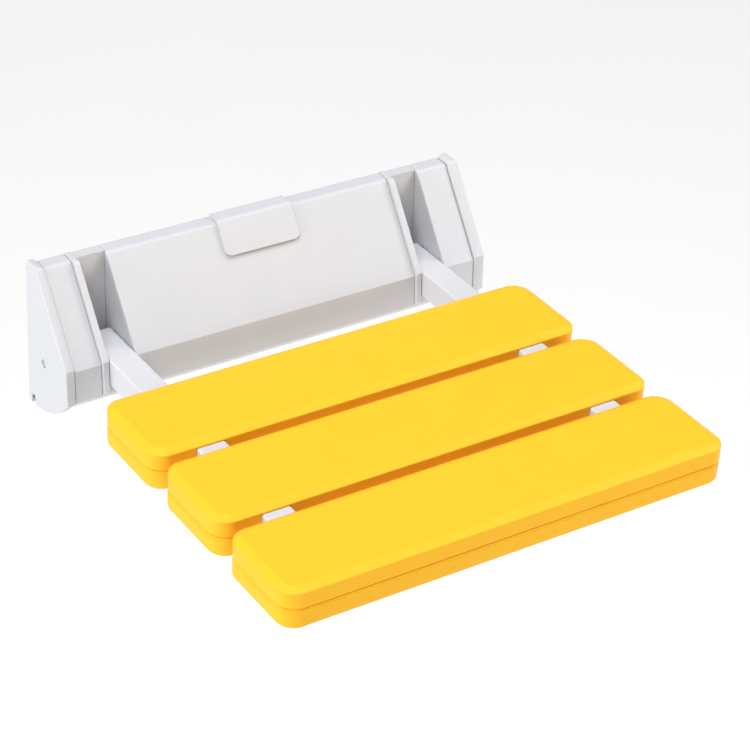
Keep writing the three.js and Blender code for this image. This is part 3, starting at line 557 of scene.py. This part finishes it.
def zinc_coat(name, colour):
    """Zinc-plated steel: a cloudy, faintly spangled surface."""
    nodes = Nodes(name)
    spangle = nodes.add("ShaderNodeTexVoronoi")
    spangle.inputs["Scale"].default_value = 240
    nodes.link(nodes.coordinates(), spangle.inputs["Vector"])
    cloud = nodes.noise(45, 4)
    blend = nodes.add("ShaderNodeMix", data_type="FLOAT")
    blend.inputs["Factor"].default_value = 0.25
    nodes.link(cloud, blend.inputs["A"])
    nodes.link(spangle.outputs["Distance"], blend.inputs["B"])
    tone = blend.outputs["Result"]
    base = nodes.ramp(tone, [(0.25, shifted(colour, 0.86)), (0.75, shifted(colour, 1.12))])
    nodes.link(base, nodes.shader.inputs["Base Color"])
    nodes.link(nodes.remap(tone, 0.38, 0.56), nodes.shader.inputs["Roughness"])
    nodes.link(nodes.bump(nodes.noise(600, 3), 0.01 * MM, 0.5), nodes.shader.inputs["Normal"])
    nodes.shader.inputs["Metallic"].default_value = 0.9
    return nodes.material


WHITE = (0.607, 0.62, 0.65)
YELLOW = (1.0, 0.522, 0.03)

MATERIALS = {
    "white_plastic": moulded_plastic("white_plastic", WHITE, 0.42),
    "yellow_plastic": moulded_plastic("yellow_plastic", YELLOW, 0.4, specular=0.08),
    "white_enamel": enamel("white_enamel", (0.62, 0.625, 0.66)),
    "natural_nylon": moulded_plastic("natural_nylon", (0.62, 0.615, 0.61), 0.5),
    "black_nylon": moulded_plastic("black_nylon", (0.035, 0.035, 0.037), 0.55),
    "stainless_steel": metal("stainless_steel", (0.74, 0.74, 0.75), 0.42, (1, 1, 14), 160),
    "zinc_plate": zinc_coat("zinc_plate", (0.5, 0.52, 0.54)),
}


# ------------------------------------------------------------------ housing pieces


def edge_rings(grow, x0, x1, radius0, radius1, steps=4):
    """Section rings from x0 to x1, with the skin rolled in by a radius at each end."""
    rings = []
    for x, radius, way, turns in (
        (x0, radius0, 1, range(steps + 1)),
        (x1, radius1, -1, range(steps, -1, -1)),
    ):
        for k in turns:
            angle = math.pi / 2 * k / steps
            outline = housing_outline(grow, -radius * (1 - math.sin(angle)))
            rings.append(section(outline, x + way * radius * (1 - math.cos(angle))))
    return rings


def cover(name, x0, x1, webbed):
    """A hollow cover. A webbed one has its left end closed, with a softer edge and a pin hole."""
    left_radius = SLOT_EDGE if webbed else SEAM_EDGE
    piece = skin(name, edge_rings(FLUSH, x0, x1, left_radius, SEAM_EDGE))
    start = x0 + WEB if webbed else x0 - WEB
    cavity = housing_outline(FLUSH, -BODY_WALL, back=PAST)
    cut(piece, prism_x("cavity", cavity, start, x1 + WEB))
    if webbed:
        hole_place = (x0 - WEB, PIVOT.y, PIVOT.z)
        cut(
            piece,
            rod("hole", PIN_BORE_RADIUS, "X", hole_place, 3 * WEB),
            rod("washer_seat", WASHER_SEAT_RADIUS, "X", hole_place, WEB + WASHER_RECESS),
        )
    return soften(piece, 0.0)


def notch_tools(side, inner):
    """Cutters for a cap's foot: the notch, and the wider room behind the cap's face."""
    top = BASE_Z + NOTCH_TOP
    round_z = top - NOTCH_HALF
    near, far = sorted((side * (inner - PAST), side * (HALF_WIDTH + PAST)))
    slot = box(
        "notch",
        (near, NOTCH_Y - NOTCH_HALF, BASE_Z - BODY_HEIGHT),
        (far, NOTCH_Y + NOTCH_HALF, round_z),
    )
    notch = join(slot, rod("notch_top", NOTCH_HALF, "X", (near, NOTCH_Y, round_z), far - near))
    near, far = sorted((side * (inner - PAST), side * (HALF_WIDTH - NOTCH_SKIN)))
    reach = NOTCH_HALF + NOTCH_ROOM
    room = box(
        "notch_room",
        (near, NOTCH_Y - reach, top - NOTCH_ROOM_DROP),
        (far, NOTCH_Y + reach, top + NOTCH_ROOM),
    )
    return notch, room


def end_cap(word, side):
    """A proud end cap: flat outer face, band, rounded shoulder, and the neck of the seam."""
    outer = HALF_WIDTH
    inner = outer - CAP_WIDTH
    rings = []
    steps = 4
    for k in range(steps + 1):
        angle = math.pi / 2 * k / steps
        inset = CAP_EDGE * (1 - math.sin(angle))
        x = outer - CAP_EDGE * (1 - math.cos(angle))
        rings.append(section(housing_outline(CAP_PROUD, -inset), side * x))
    steps = 8
    for k in range(steps + 1):
        share = k / steps
        drop = CAP_SHOULDER_DROP * share * share * (1.5 - 0.5 * share)
        x = inner + CAP_SHOULDER * (1 - share)
        rings.append(section(housing_outline(CAP_PROUD, -drop), side * x))
    piece = skin(f"end_cap_{word}_shell", rings)
    neck_ends = sorted((side * (inner - CAP_NECK), side * (inner + CAP_SHOULDER / 2)))
    join(piece, prism_x("neck", housing_outline(FLUSH, -CAP_NECK_DEPTH), *neck_ends))
    hollow = [Vector((min(p.x, -CAP_FACE), p.y)) for p in housing_outline(FLUSH, -CAP_WALL)]
    hollow_ends = sorted((side * (inner - PAST), side * (outer - CAP_FACE)))
    cut(piece, prism_x("hollow", hollow, *hollow_ends))
    axis = "X" if side > 0 else "-X"
    boss_start = (side * inner, PIVOT.y, PIVOT.z)
    boss_length = CAP_WIDTH - CAP_FACE + OVERLAP
    join(piece, rod("boss", CAP_BOSS_RADIUS, axis, boss_start, boss_length))
    bore_start = (side * (inner - PAST), PIVOT.y, PIVOT.z)
    bore_length = PAST + CAP_WIDTH - PIN_WINDOW_DEPTH
    cut(
        piece,
        rod("bore", PIN_BORE_RADIUS, axis, bore_start, bore_length),
        rod("window", PIN_WINDOW_RADIUS, axis, bore_start, CAP_WIDTH + 2 * PAST),
        *notch_tools(side, inner),
    )
    return soften(piece, 0.25 * MM, 2, 60)


def pocket_outline():
    """The room that an arm swings in, as (y, height) points."""
    radius = BELLY_RADIUS - SLOT_FLOOR

    def back_at(height):
        share = height / BODY_HEIGHT
        return -(SLOT_BACK_BOTTOM + (SLOT_BACK_TOP - SLOT_BACK_BOTTOM) * share)

    def floor_at(y):
        return BELLY_CENTRE[1] - math.sqrt(radius**2 - (y - BELLY_CENTRE[0]) ** 2)

    high = BODY_HEIGHT + 3 * PAST
    front = -FASCIA_DEPTH - 3 * PAST
    lip_back = -FASCIA_DEPTH + SLOT_LIP
    lip_top = ARM_LOW.z - BASE_Z - SEAM
    low_back = back_at(floor_at(-SLOT_BACK_BOTTOM))
    points = [Vector((back_at(BODY_HEIGHT), high)), Vector((back_at(BODY_HEIGHT), BODY_HEIGHT))]
    steps = 16
    for k in range(steps + 1):
        y = low_back + (lip_back - low_back) * k / steps
        points.append(Vector((y, floor_at(y))))
    points += [Vector((lip_back, lip_top)), Vector((front, lip_top)), Vector((front, high))]
    return points


def hinge_bracket(word, side):
    """The slot's lining: proud left cheek, back wall, floor and lip."""
    centre = side * SLOT_CENTRE
    left = centre - SLOT_HALF
    cheek = skin(
        f"hinge_bracket_{word}_moulding",
        edge_rings(CHEEK_PROUD, left - CHEEK_WIDTH, left, CHEEK_EDGE, CHEEK_EDGE),
    )
    lining_ends = (left - CHEEK_WIDTH / 2, centre + SLOT_HALF - SEAM)
    lining = prism_x("lining", housing_outline(FLUSH, -LINING_INSET), *lining_ends)
    cut(lining, prism_x("pocket", pocket_outline(), left, centre + SLOT_HALF + PAST))
    join(cheek, lining)
    bore_place = (left - CHEEK_WIDTH - PAST, PIVOT.y, PIVOT.z)
    seat_place = (left - WASHER_RECESS, PIVOT.y, PIVOT.z)
    plate_reach = CHEEK_WIDTH + SLOT_HALF + PAST
    room_low, room_high = PLATE_ROOM
    cut(
        cheek,
        rod("bore", PIN_BORE_RADIUS, "X", bore_place, CHEEK_WIDTH + 2 * PAST),
        rod("washer_seat", WASHER_SEAT_RADIUS, "X", seat_place, SLOT_HALF),
        box(
            "plate_room",
            (centre - plate_reach, -PLATE - SEAM, BASE_Z + room_low),
            (centre + plate_reach, PAST, BASE_Z + room_high),
        ),
    )
    return soften(cheek, 0.2 * MM, 2, 60)


def badge_tab():
    """The blank raised tab that wraps over the cover's top edge."""
    low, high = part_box("badge_tab")
    piece = prism_x("badge_tab_moulding", housing_outline(FLUSH, BADGE_PROUD), low.x, high.x)
    under = housing_outline(FLUSH, BADGE_GAP, back=PAST)
    cut(piece, prism_x("under", under, low.x - PAST, high.x + PAST))
    drop = (TOP_EDGE.y - (low.z - BASE_Z)) / -SLANT.y
    half_x, half_down = (high.x - low.x) / 2, (drop + BADGE_MASK) / 2
    mask = []
    for x, along in rounded_rectangle(half_x, half_down, BADGE_CORNER, 12):
        mask.append((x + (low.x + high.x) / 2, along + drop - half_down))
    rings = []
    for out in (-BADGE_MASK, BADGE_MASK):
        ring = []
        for x, down in mask:
            y, height = TOP_EDGE + SLANT * down + SLANT_NORMAL * out
            ring.append(Vector((x, y, BASE_Z + height)))
        rings.append(ring)
    combine(piece, "INTERSECT", skin("mask", rings))
    wall_side = box(
        "wall_side",
        (low.x - PAST, -BADGE_BACK, BASE_Z),
        (high.x + PAST, PAST, BASE_Z + 2 * BODY_HEIGHT),
    )
    cut(piece, wall_side)
    return soften(piece, BADGE_EDGE, 3, 50)


def wall_plate():
    """The steel plate behind the covers, with its screw holes."""
    low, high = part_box("wall_plate")
    middle = (low + high) / 2
    outline = rounded_rectangle((high.x - low.x) / 2, (high.z - low.z) / 2, PLATE_CORNER)
    rings = []
    for y in (low.y, high.y):
        rings.append([Vector((middle.x + x, y, middle.z + z)) for x, z in outline])
    piece = skin("wall_plate_sheet", rings)
    holes = []
    for side, word in SIDES:
        for height in WALL_HOLE_HEIGHTS:
            place = (side * WALL_HOLE_X, low.y - PAST, BASE_Z + height)
            holes.append(rod("hole", WALL_HOLE_RADIUS, "Y", place, PLATE + 2 * PAST, 40))
        for level in ("lower", "upper"):
            holes.append(bracket_screw_sink(f"bracket_screw_{word}_{level}"))
    cut(piece, *holes)
    return soften(piece, 0.25 * MM, 2, 50)


def bracket_screw_sink(node):
    """The countersunk hole for a bracket screw, from the plate's wall side."""
    low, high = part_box(node)
    head = BRACKET_SCREW["head_radius"] + 0.5 * MM
    shank = BRACKET_SCREW["shank"] + 0.4 * MM
    profile = [
        (0, -OVERLAP), (head, -OVERLAP), (head - 0.1 * MM, 0.6 * MM),
        (shank, 2.2 * MM), (shank, 2 * PAST), (0, 2 * PAST),
    ]
    return lathe("sink", profile, "-Y", ((low.x + high.x) / 2, 0, (low.z + high.z) / 2))


# ------------------------------------------------------------------ hinge pieces


def pivot_pin(word, side):
    """A turned pin with a domed outer end and a groove for its circlip."""
    low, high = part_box(f"pivot_pin_{word}")
    length = high.x - low.x
    outer = high.x if side > 0 else -low.x
    clip_low, clip_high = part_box(f"pin_circlip_{word}")
    near, far = sorted((side * clip_low.x, side * clip_high.x))
    groove_start = outer - far - CIRCLIP_PLAY
    groove_end = outer - near + CIRCLIP_PLAY
    dome_shares = (0, 0.2, 0.4, 0.6, 0.75)
    profile = [(PIN_RADIUS * share, PIN_DOME * (share**2 - 1)) for share in dome_shares]
    profile += [
        (PIN_RADIUS - PIN_CHAMFER, 0), (PIN_RADIUS, PIN_CHAMFER), (PIN_RADIUS, groove_start),
        (PIN_GROOVE_RADIUS, groove_start), (PIN_GROOVE_RADIUS, groove_end),
        (PIN_RADIUS, groove_end), (PIN_RADIUS, length - PIN_CHAMFER),
        (PIN_RADIUS - PIN_CHAMFER, length), (0, length),
    ]
    axis = "-X" if side > 0 else "X"
    place = (side * outer, PIVOT.y, PIVOT.z)
    return shade(lathe(f"pivot_pin_{word}_turned", profile, axis, place))


def ring_piece(name, node, outer, inner, edge):
    """A turned ring along X that fills its node's length: a bush or a washer."""
    low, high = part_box(node)
    profile = [
        (inner + edge, low.x), (inner, low.x + edge),
        (inner, high.x - edge), (inner + edge, high.x),
        (outer - edge, high.x), (outer, high.x - edge),
        (outer, low.x + edge), (outer - edge, low.x),
    ]
    return shade(lathe(name, profile, "X", (0, PIVOT.y, PIVOT.z)))


def screw(name, sizes, length, axis, place, countersunk=False):
    """A screw from its driven face at place, along the axis, with a cross recess and a thread."""
    head_radius, head, shank = sizes["head_radius"], sizes["head"], sizes["shank"]
    if countersunk:
        profile = [
            (0, 0), (head_radius - 0.1 * MM, 0), (head_radius, 0.1 * MM),
            (head_radius, head * 0.3), (shank, head),
        ]
    else:
        profile = [
            (0, 0), (head_radius - 0.9 * MM, 0), (head_radius - 0.35 * MM, 0.2 * MM),
            (head_radius, 0.8 * MM), (head_radius, head), (shank, head),
        ]
    at = head + THREAD_PITCH
    while at < length - 2.2 * THREAD_PITCH:
        profile += [(shank, at), (shank - THREAD_DEPTH, at + THREAD_PITCH / 2)]
        at += THREAD_PITCH
    profile += [(shank, at), (shank * 0.6, length - 0.5 * MM), (0, length)]
    piece = lathe(name, profile, axis, place, 32)
    reach = head_radius * 0.58
    turn = Matrix.Translation(Vector(place)) @ AXIS_TURNS[axis]
    turn = turn @ Matrix.Rotation(RECESS_TURN, 4, "Z")
    tools = []
    for x, y in ((reach, RECESS_HALF), (RECESS_HALF, reach)):
        tool = box("recess", (-x, -y, -OVERLAP), (x, y, head * 0.75))
        tool.data.transform(turn)
        tools.append(tool)
    cut(piece, join(*tools))
    return shade(piece, 40)


# ------------------------------------------------------------------ arms


def arm_ring(centre_x, half_x, half_z, radius, y):
    """A ring across an arm, at y."""
    middle_z = (ARM_LOW.z + ARM_HIGH.z) / 2
    outline = rounded_rectangle(half_x, half_z, radius, 6)
    return [Vector((centre_x + x, y, middle_z + z)) for x, z in outline]


def bush_hole(centre_x, half_x):
    """A cutter for the pivot bush's hole through an arm."""
    reach = half_x + PAST
    place = (centre_x - reach, PIVOT.y, PIVOT.z)
    return rod("bush_hole", BUSH_HOLE_RADIUS, "X", place, 2 * reach)


def arm_tube(word):
    """A square tube with rounded corners, open at both ends."""
    low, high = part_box(f"arm_{word}")
    centre = (low.x + high.x) / 2
    half_x, half_z = (high.x - low.x) / 2, (high.z - low.z) / 2
    rings = []
    for inset, y in (
        (ARM_EDGE, low.y), (0, low.y + ARM_EDGE), (0, high.y - ARM_EDGE), (ARM_EDGE, high.y),
    ):
        rings.append(arm_ring(centre, half_x - inset, half_z - inset, ARM_CORNER, y))
    inner = (half_x - ARM_WALL, half_z - ARM_WALL, ARM_INNER_CORNER)
    rings.append(arm_ring(centre, *inner, high.y))
    rings.append(arm_ring(centre, *inner, low.y))
    piece = skin(f"arm_{word}_tube", rings, looped=True)
    cut(piece, bush_hole(centre, half_x))
    return shade(piece)


def rear_plug(word):
    """The block that closes an arm's rear end, rounded about the pivot."""
    low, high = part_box(f"arm_rear_plug_{word}")
    tube_low, tube_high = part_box(f"arm_{word}")
    centre = (tube_low.x + tube_high.x) / 2
    half_x = (tube_high.x - tube_low.x) / 2
    half_z = (tube_high.z - tube_low.z) / 2
    reach = half_x + PAST
    start = tube_high.y + 0.1 * MM
    end = high.y + PAST
    block = [arm_ring(centre, half_x, half_z, ARM_CORNER, y) for y in (start, end)]
    piece = skin(f"arm_rear_plug_{word}_block", block)
    round_place = (centre - reach, PIVOT.y, PIVOT.z)
    round_tool = rod("round", high.y - PIVOT.y, "X", round_place, 2 * reach, 96)
    combine(piece, "INTERSECT", round_tool)
    inset = ARM_WALL + 0.15 * MM
    stem = (centre, half_x - inset, half_z - inset, PLUG_CORNER)
    join(piece, skin("stem", [arm_ring(*stem, y) for y in (low.y, start + OVERLAP)]))
    cut(piece, bush_hole(centre, half_x))
    return soften(piece, 0.3 * MM, 2, 50)


def front_plug(word):
    """The plug in an arm's front end: a flange over the tube and a stem inside it."""
    low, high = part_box(f"arm_front_plug_{word}")
    centre = (low.x + high.x) / 2
    half_x, half_z = (high.x - low.x) / 2, (high.z - low.z) / 2
    stem = ARM_WALL + 0.3 * MM
    rings = []
    for inset, corner, y in (
        (PLUG_EDGE, ARM_CORNER, low.y),
        (0, ARM_CORNER, low.y + PLUG_EDGE),
        (0, ARM_CORNER, low.y + PLUG_FLANGE),
        (stem, PLUG_CORNER, low.y + PLUG_FLANGE),
        (stem, PLUG_CORNER, high.y - PLUG_EDGE),
        (stem + PLUG_EDGE, PLUG_CORNER, high.y),
    ):
        rings.append(arm_ring(centre, half_x - inset, half_z - inset, corner, y))
    return shade(skin(f"arm_front_plug_{word}_moulding", rings))


# ------------------------------------------------------------------ slats


def open_fillet(points, radii, steps=5):
    """An open profile with its inner corners turned into arcs."""
    return fillet(points, [0, *radii, 0], steps)


def slat_rings(profile, low, high):
    """Rounded-rectangle rings for a profile of (inset, height) points over a node's box."""
    middle = (low + high) / 2
    half_x, half_y = (high.x - low.x) / 2, (high.y - low.y) / 2
    rings = []
    for inset, z in profile:
        radius = max(SLAT_CORNER - inset, 1 * MM)
        outline = rounded_rectangle(half_x - inset, half_y - inset, radius, 14)
        rings.append([Vector((middle.x + x, middle.y + y, z)) for x, y in outline])
    return rings


def inner_profile(rim, level, inwards):
    """A shell's inner side, from its rim to its level inner face."""
    points = [
        (SLAT_WALL, rim), (SLAT_WALL, level + inwards * HAUNCH_HEIGHT),
        (HAUNCH_INSET, level), (INNER_LEVEL, level),
    ]
    return open_fillet(points, [1 * MM, 1 * MM], 3)


def arm_rooms(low, high):
    """The room for both arms through a slat; the front slat is closed at its front."""
    rooms = []
    gap = Vector((ARM_CLEARANCE, 0, ARM_CLEARANCE))
    for _, word in SIDES:
        arm_low, arm_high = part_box(f"arm_{word}")
        plug_low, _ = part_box(f"arm_front_plug_{word}")
        room_low = arm_low - gap
        room_high = arm_high + gap
        room_low.y = max(low.y - PAST, plug_low.y - ARM_CLEARANCE)
        room_high.y = high.y + PAST
        rooms.append(box("room", room_low, room_high))
    return rooms


def slat_upper(index):
    """The upper shell: flat top, sloped and rounded edge, straight side, and the groove."""
    low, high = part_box(f"slat_{index}_upper")
    top = high.z
    bottom = low.z + PARTING_HALF
    chamfer_in, chamfer_down = SLAT_CHAMFER
    outer = open_fillet(
        [
            (SLAT_LEVEL, top), (chamfer_in, top), (0, top - chamfer_down),
            (0, bottom), (PARTING_DEPTH, bottom),
        ],
        [2.2 * MM, 0.9 * MM, 0.3 * MM],
    )
    inner = inner_profile(bottom, top - SLAT_WALL, -1)
    piece = skin(f"slat_{index}_upper_shell", slat_rings(outer + inner, low, high))
    cut(piece, *arm_rooms(low, high))
    return soften(piece, 0.0)


def slat_lower(index):
    """The lower shell: round bottom edge, a stepped rim, a tongue, screw bosses and pads."""
    low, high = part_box(f"slat_{index}_lower")
    upper_low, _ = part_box(f"slat_{index}_upper")
    bottom = low.z
    rim = upper_low.z - PARTING_HALF
    step = rim - SLAT_STEP_DROP
    floor_z = bottom + SLAT_WALL
    tongue = rim + SLAT_TONGUE
    outer = open_fillet(
        [
            (SLAT_LEVEL, bottom), (0, bottom), (0, step), (SLAT_STEP, step + 0.4 * MM),
            (SLAT_STEP, rim), (PARTING_DEPTH, rim), (PARTING_DEPTH, tongue), (SLAT_WALL, tongue),
        ],
        [SLAT_ROUND, 0.12 * MM, 0.12 * MM, 0.3 * MM, 0.1 * MM, 0.1 * MM],
    )
    inner = inner_profile(rim, floor_z, 1)
    piece = skin(f"slat_{index}_lower_shell", slat_rings(outer + inner, low, high))
    middle_y = (low.y + high.y) / 2
    start = floor_z - 0.5 * MM
    pad_top = ARM_LOW.z - ARM_CLEARANCE
    posts = []
    wells = []
    for number in range(1, SLAT_SCREWS + 1):
        screw_low, screw_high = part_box(f"slat_{index}_screw_{number}")
        x = (screw_low.x + screw_high.x) / 2
        posts.append(rod("boss", BOSS_RADIUS, "Z", (x, middle_y, start), rim - floor_z))
        wells.append(screw_well(x, middle_y, bottom, screw_low.z))
    for _, word in SIDES:
        screw_low, screw_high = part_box(f"slat_{index}_arm_screw_{word}")
        x = (screw_low.x + screw_high.x) / 2
        posts.append(rod("pad", PAD_RADIUS, "Z", (x, middle_y, start), pad_top - start))
        wells.append(screw_well(x, middle_y, bottom, screw_low.z))
    join(piece, *posts)
    cut(piece, *wells, *arm_rooms(low, high))
    return soften(piece, 0.2 * MM, 1, 75)


def screw_well(x, y, bottom, head):
    """A counterbore from below, with the hole for the shank above it."""
    seat = head + SLAT_SCREW["head"] + 0.2 * MM
    wide = WELL_RADIUS + WELL_EDGE
    top = bottom + SHANK_HOLE_LENGTH
    profile = [
        (0, bottom - 2 * OVERLAP), (wide, bottom - 2 * OVERLAP), (wide, bottom),
        (WELL_RADIUS, bottom + WELL_EDGE), (WELL_RADIUS, seat),
        (SHANK_HOLE_RADIUS, seat), (SHANK_HOLE_RADIUS, top), (0, top),
    ]
    return lathe("well", profile, "Z", (x, y, 0), 40)


# ------------------------------------------------------------------ assembly


def build_housing():
    """Every piece that stays on the wall."""
    left_x = -SLOT_CENTRE + SLOT_HALF
    right_x = SLOT_CENTRE - SLOT_HALF - CHEEK_WIDTH - SEAM
    piece = cover("centre_cover_shell", left_x, right_x, webbed=True)
    finish_piece(piece, "wall_unit", "centre_cover", "white_plastic")
    for side, word in SIDES:
        low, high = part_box(f"end_section_{word}")
        piece = cover(f"end_section_{word}_shell", low.x, high.x, webbed=side > 0)
        finish_piece(piece, "wall_unit", f"end_section_{word}", "white_plastic")
        finish_piece(end_cap(word, side), "wall_unit", f"end_cap_{word}", "white_plastic")
        bracket = hinge_bracket(word, side)
        finish_piece(bracket, "wall_unit", f"hinge_bracket_{word}", "white_plastic")
        finish_piece(pivot_pin(word, side), "wall_unit", f"pivot_pin_{word}", "stainless_steel")
        for level in ("lower", "upper"):
            node = f"bracket_screw_{word}_{level}"
            low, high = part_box(node)
            place = ((low.x + high.x) / 2, high.y, (low.z + high.z) / 2)
            length = high.y - low.y
            piece = screw(f"{node}_driven", BRACKET_SCREW, length, "-Y", place, countersunk=True)
            finish_piece(piece, "wall_unit", node, "stainless_steel")
    finish_piece(badge_tab(), "wall_unit", "badge_tab", "white_plastic")
    finish_piece(wall_plate(), "wall_unit", "wall_plate", "zinc_plate")


def build_arms():
    """The two arms with their plugs, bushes and washers."""
    for _, word in SIDES:
        finish_piece(arm_tube(word), "seat", f"arm_{word}", "white_enamel")
        finish_piece(rear_plug(word), "seat", f"arm_rear_plug_{word}", "natural_nylon")
        finish_piece(front_plug(word), "seat", f"arm_front_plug_{word}", "black_nylon")
        node = f"pivot_bush_{word}"
        piece = ring_piece(f"{node}_sleeve", node, BUSH_RADIUS, PIN_BORE_RADIUS, 0.3 * MM)
        finish_piece(piece, "seat", node, "natural_nylon")
        for where in ("inner", "outer"):
            node = f"friction_washer_{word}_{where}"
            radii = (WASHER_RADIUS, WASHER_HOLE_RADIUS)
            piece = ring_piece(f"{node}_disc", node, *radii, 0.1 * MM)
            finish_piece(piece, "seat", node, "black_nylon")


def build_slats():
    """The slats' shells and screws."""
    for index in range(1, SLAT_COUNT + 1):
        finish_piece(slat_upper(index), "seat", f"slat_{index}_upper", "yellow_plastic")
        finish_piece(slat_lower(index), "seat", f"slat_{index}_lower", "yellow_plastic")
        names = [f"slat_{index}_screw_{number}" for number in range(1, SLAT_SCREWS + 1)]
        names += [f"slat_{index}_arm_screw_{word}" for _, word in SIDES]
        for node in names:
            low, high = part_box(node)
            place = ((low.x + high.x) / 2, (low.y + high.y) / 2, low.z)
            piece = screw(f"{node}_driven", SLAT_SCREW, high.z - low.z, "Z", place)
            finish_piece(piece, "seat", node, "stainless_steel")


def finish_carried_nodes():
    """The circlips keep their CAD shape and take the steel finish."""
    for _, word in SIDES:
        node = frame["nodes"][f"pin_circlip_{word}"]
        node.data.materials.clear()
        node.data.materials.append(MATERIALS["stainless_steel"])


# ------------------------------------------------------------------ stage, light and camera


FLOOR_HEIGHT = -1.0
FLOOR_HALF = 12
FLOOR_GLOW = 0.8
WORLD_STRENGTH = 0.02
LIGHTS_AIM = (0, -0.15, 0)


def floor():
    """A plain pale floor, well below the seat."""
    bm = bmesh.new()
    bmesh.ops.create_grid(bm, x_segments=1, y_segments=1, size=FLOOR_HALF)
    bmesh.ops.translate(bm, vec=(0, 0, FLOOR_HEIGHT), verts=bm.verts)
    ground = make_object("floor", bm)
    nodes = Nodes("floor")
    tone = nodes.ramp(nodes.noise(3, 2), [(0.3, (0.29, 0.29, 0.29)), (0.7, (0.31, 0.31, 0.31))])
    nodes.link(tone, nodes.shader.inputs["Base Color"])
    nodes.shader.inputs["Roughness"].default_value = 0.9
    nodes.shader.inputs["Specular IOR Level"].default_value = 0.1
    nodes.shader.inputs["Emission Color"].default_value = (1, 1, 1, 1)
    nodes.shader.inputs["Emission Strength"].default_value = FLOOR_GLOW
    ground.data.materials.append(nodes.material)


def softbox(name, place, size, power):
    """A soft rectangular lamp, turned to the object."""
    data = bpy.data.lights.new(name, "AREA")
    data.shape = "RECTANGLE"
    data.size, data.size_y = size
    data.energy = power
    lamp = bpy.data.objects.new(name, data)
    bpy.context.scene.collection.objects.link(lamp)
    lamp.location = place
    towards = Vector(LIGHTS_AIM) - Vector(place)
    lamp.rotation_euler = towards.to_track_quat("-Z", "Y").to_euler()


def light():
    """A faint even world and six softboxes."""
    world = bpy.data.worlds.new("studio")
    bpy.context.scene.world = world
    world.use_nodes = True
    background = world.node_tree.nodes["Background"]
    background.inputs["Color"].default_value = (1, 1, 1, 1)
    background.inputs["Strength"].default_value = WORLD_STRENGTH
    softbox("overhead", (-0.1, -0.1, 2.6), (1.3, 1.3), 45)
    softbox("key", (-1.6, -1.1, 1.9), (1.1, 1.1), 31)
    softbox("side", (-2.1, -0.1, 0.35), (1.2, 1.1), 28)
    softbox("front_low", (0.9, -2.0, 0.1), (1.2, 0.8), 6)
    softbox("front_right", (1.7, -1.7, 0.2), (1.0, 0.6), 15)
    softbox("right_high", (1.8, -0.3, 1.6), (1.0, 1.0), 22)
    bpy.context.scene.view_settings.view_transform = "Standard"
    bpy.context.scene.view_settings.look = "None"


CAMERA_AZIMUTH = math.radians(-34.47)
CAMERA_ELEVATION = math.radians(32.52)
CAMERA_ROLL = math.radians(3.41)
CAMERA_TARGET = Vector((15.18, -140.68, -7)) * MM
CAMERA_DISTANCE = 1616.7 * MM
CAMERA_LENS = 121.78
CAMERA_SENSOR = 36


def camera():
    """The photograph's viewpoint."""
    back = Vector((
        math.sin(CAMERA_AZIMUTH) * math.cos(CAMERA_ELEVATION),
        -math.cos(CAMERA_AZIMUTH) * math.cos(CAMERA_ELEVATION),
        math.sin(CAMERA_ELEVATION),
    ))
    level_right = (-back).cross(Vector((0, 0, 1))).normalized()
    level_up = level_right.cross(-back)
    right = level_right * math.cos(CAMERA_ROLL) + level_up * math.sin(CAMERA_ROLL)
    up = level_up * math.cos(CAMERA_ROLL) - level_right * math.sin(CAMERA_ROLL)
    data = bpy.data.cameras.new("photo_view")
    data.lens = CAMERA_LENS
    data.sensor_width = CAMERA_SENSOR
    data.clip_start = 0.05
    data.clip_end = 60
    eye = bpy.data.objects.new("photo_view", data)
    bpy.context.scene.collection.objects.link(eye)
    turn = Matrix((right, up, back)).transposed().to_4x4()
    eye.matrix_world = Matrix.Translation(CAMERA_TARGET + back * CAMERA_DISTANCE) @ turn
    bpy.context.scene.camera = eye


build_housing()
build_arms()
build_slats()
finish_carried_nodes()
floor()
light()
camera()
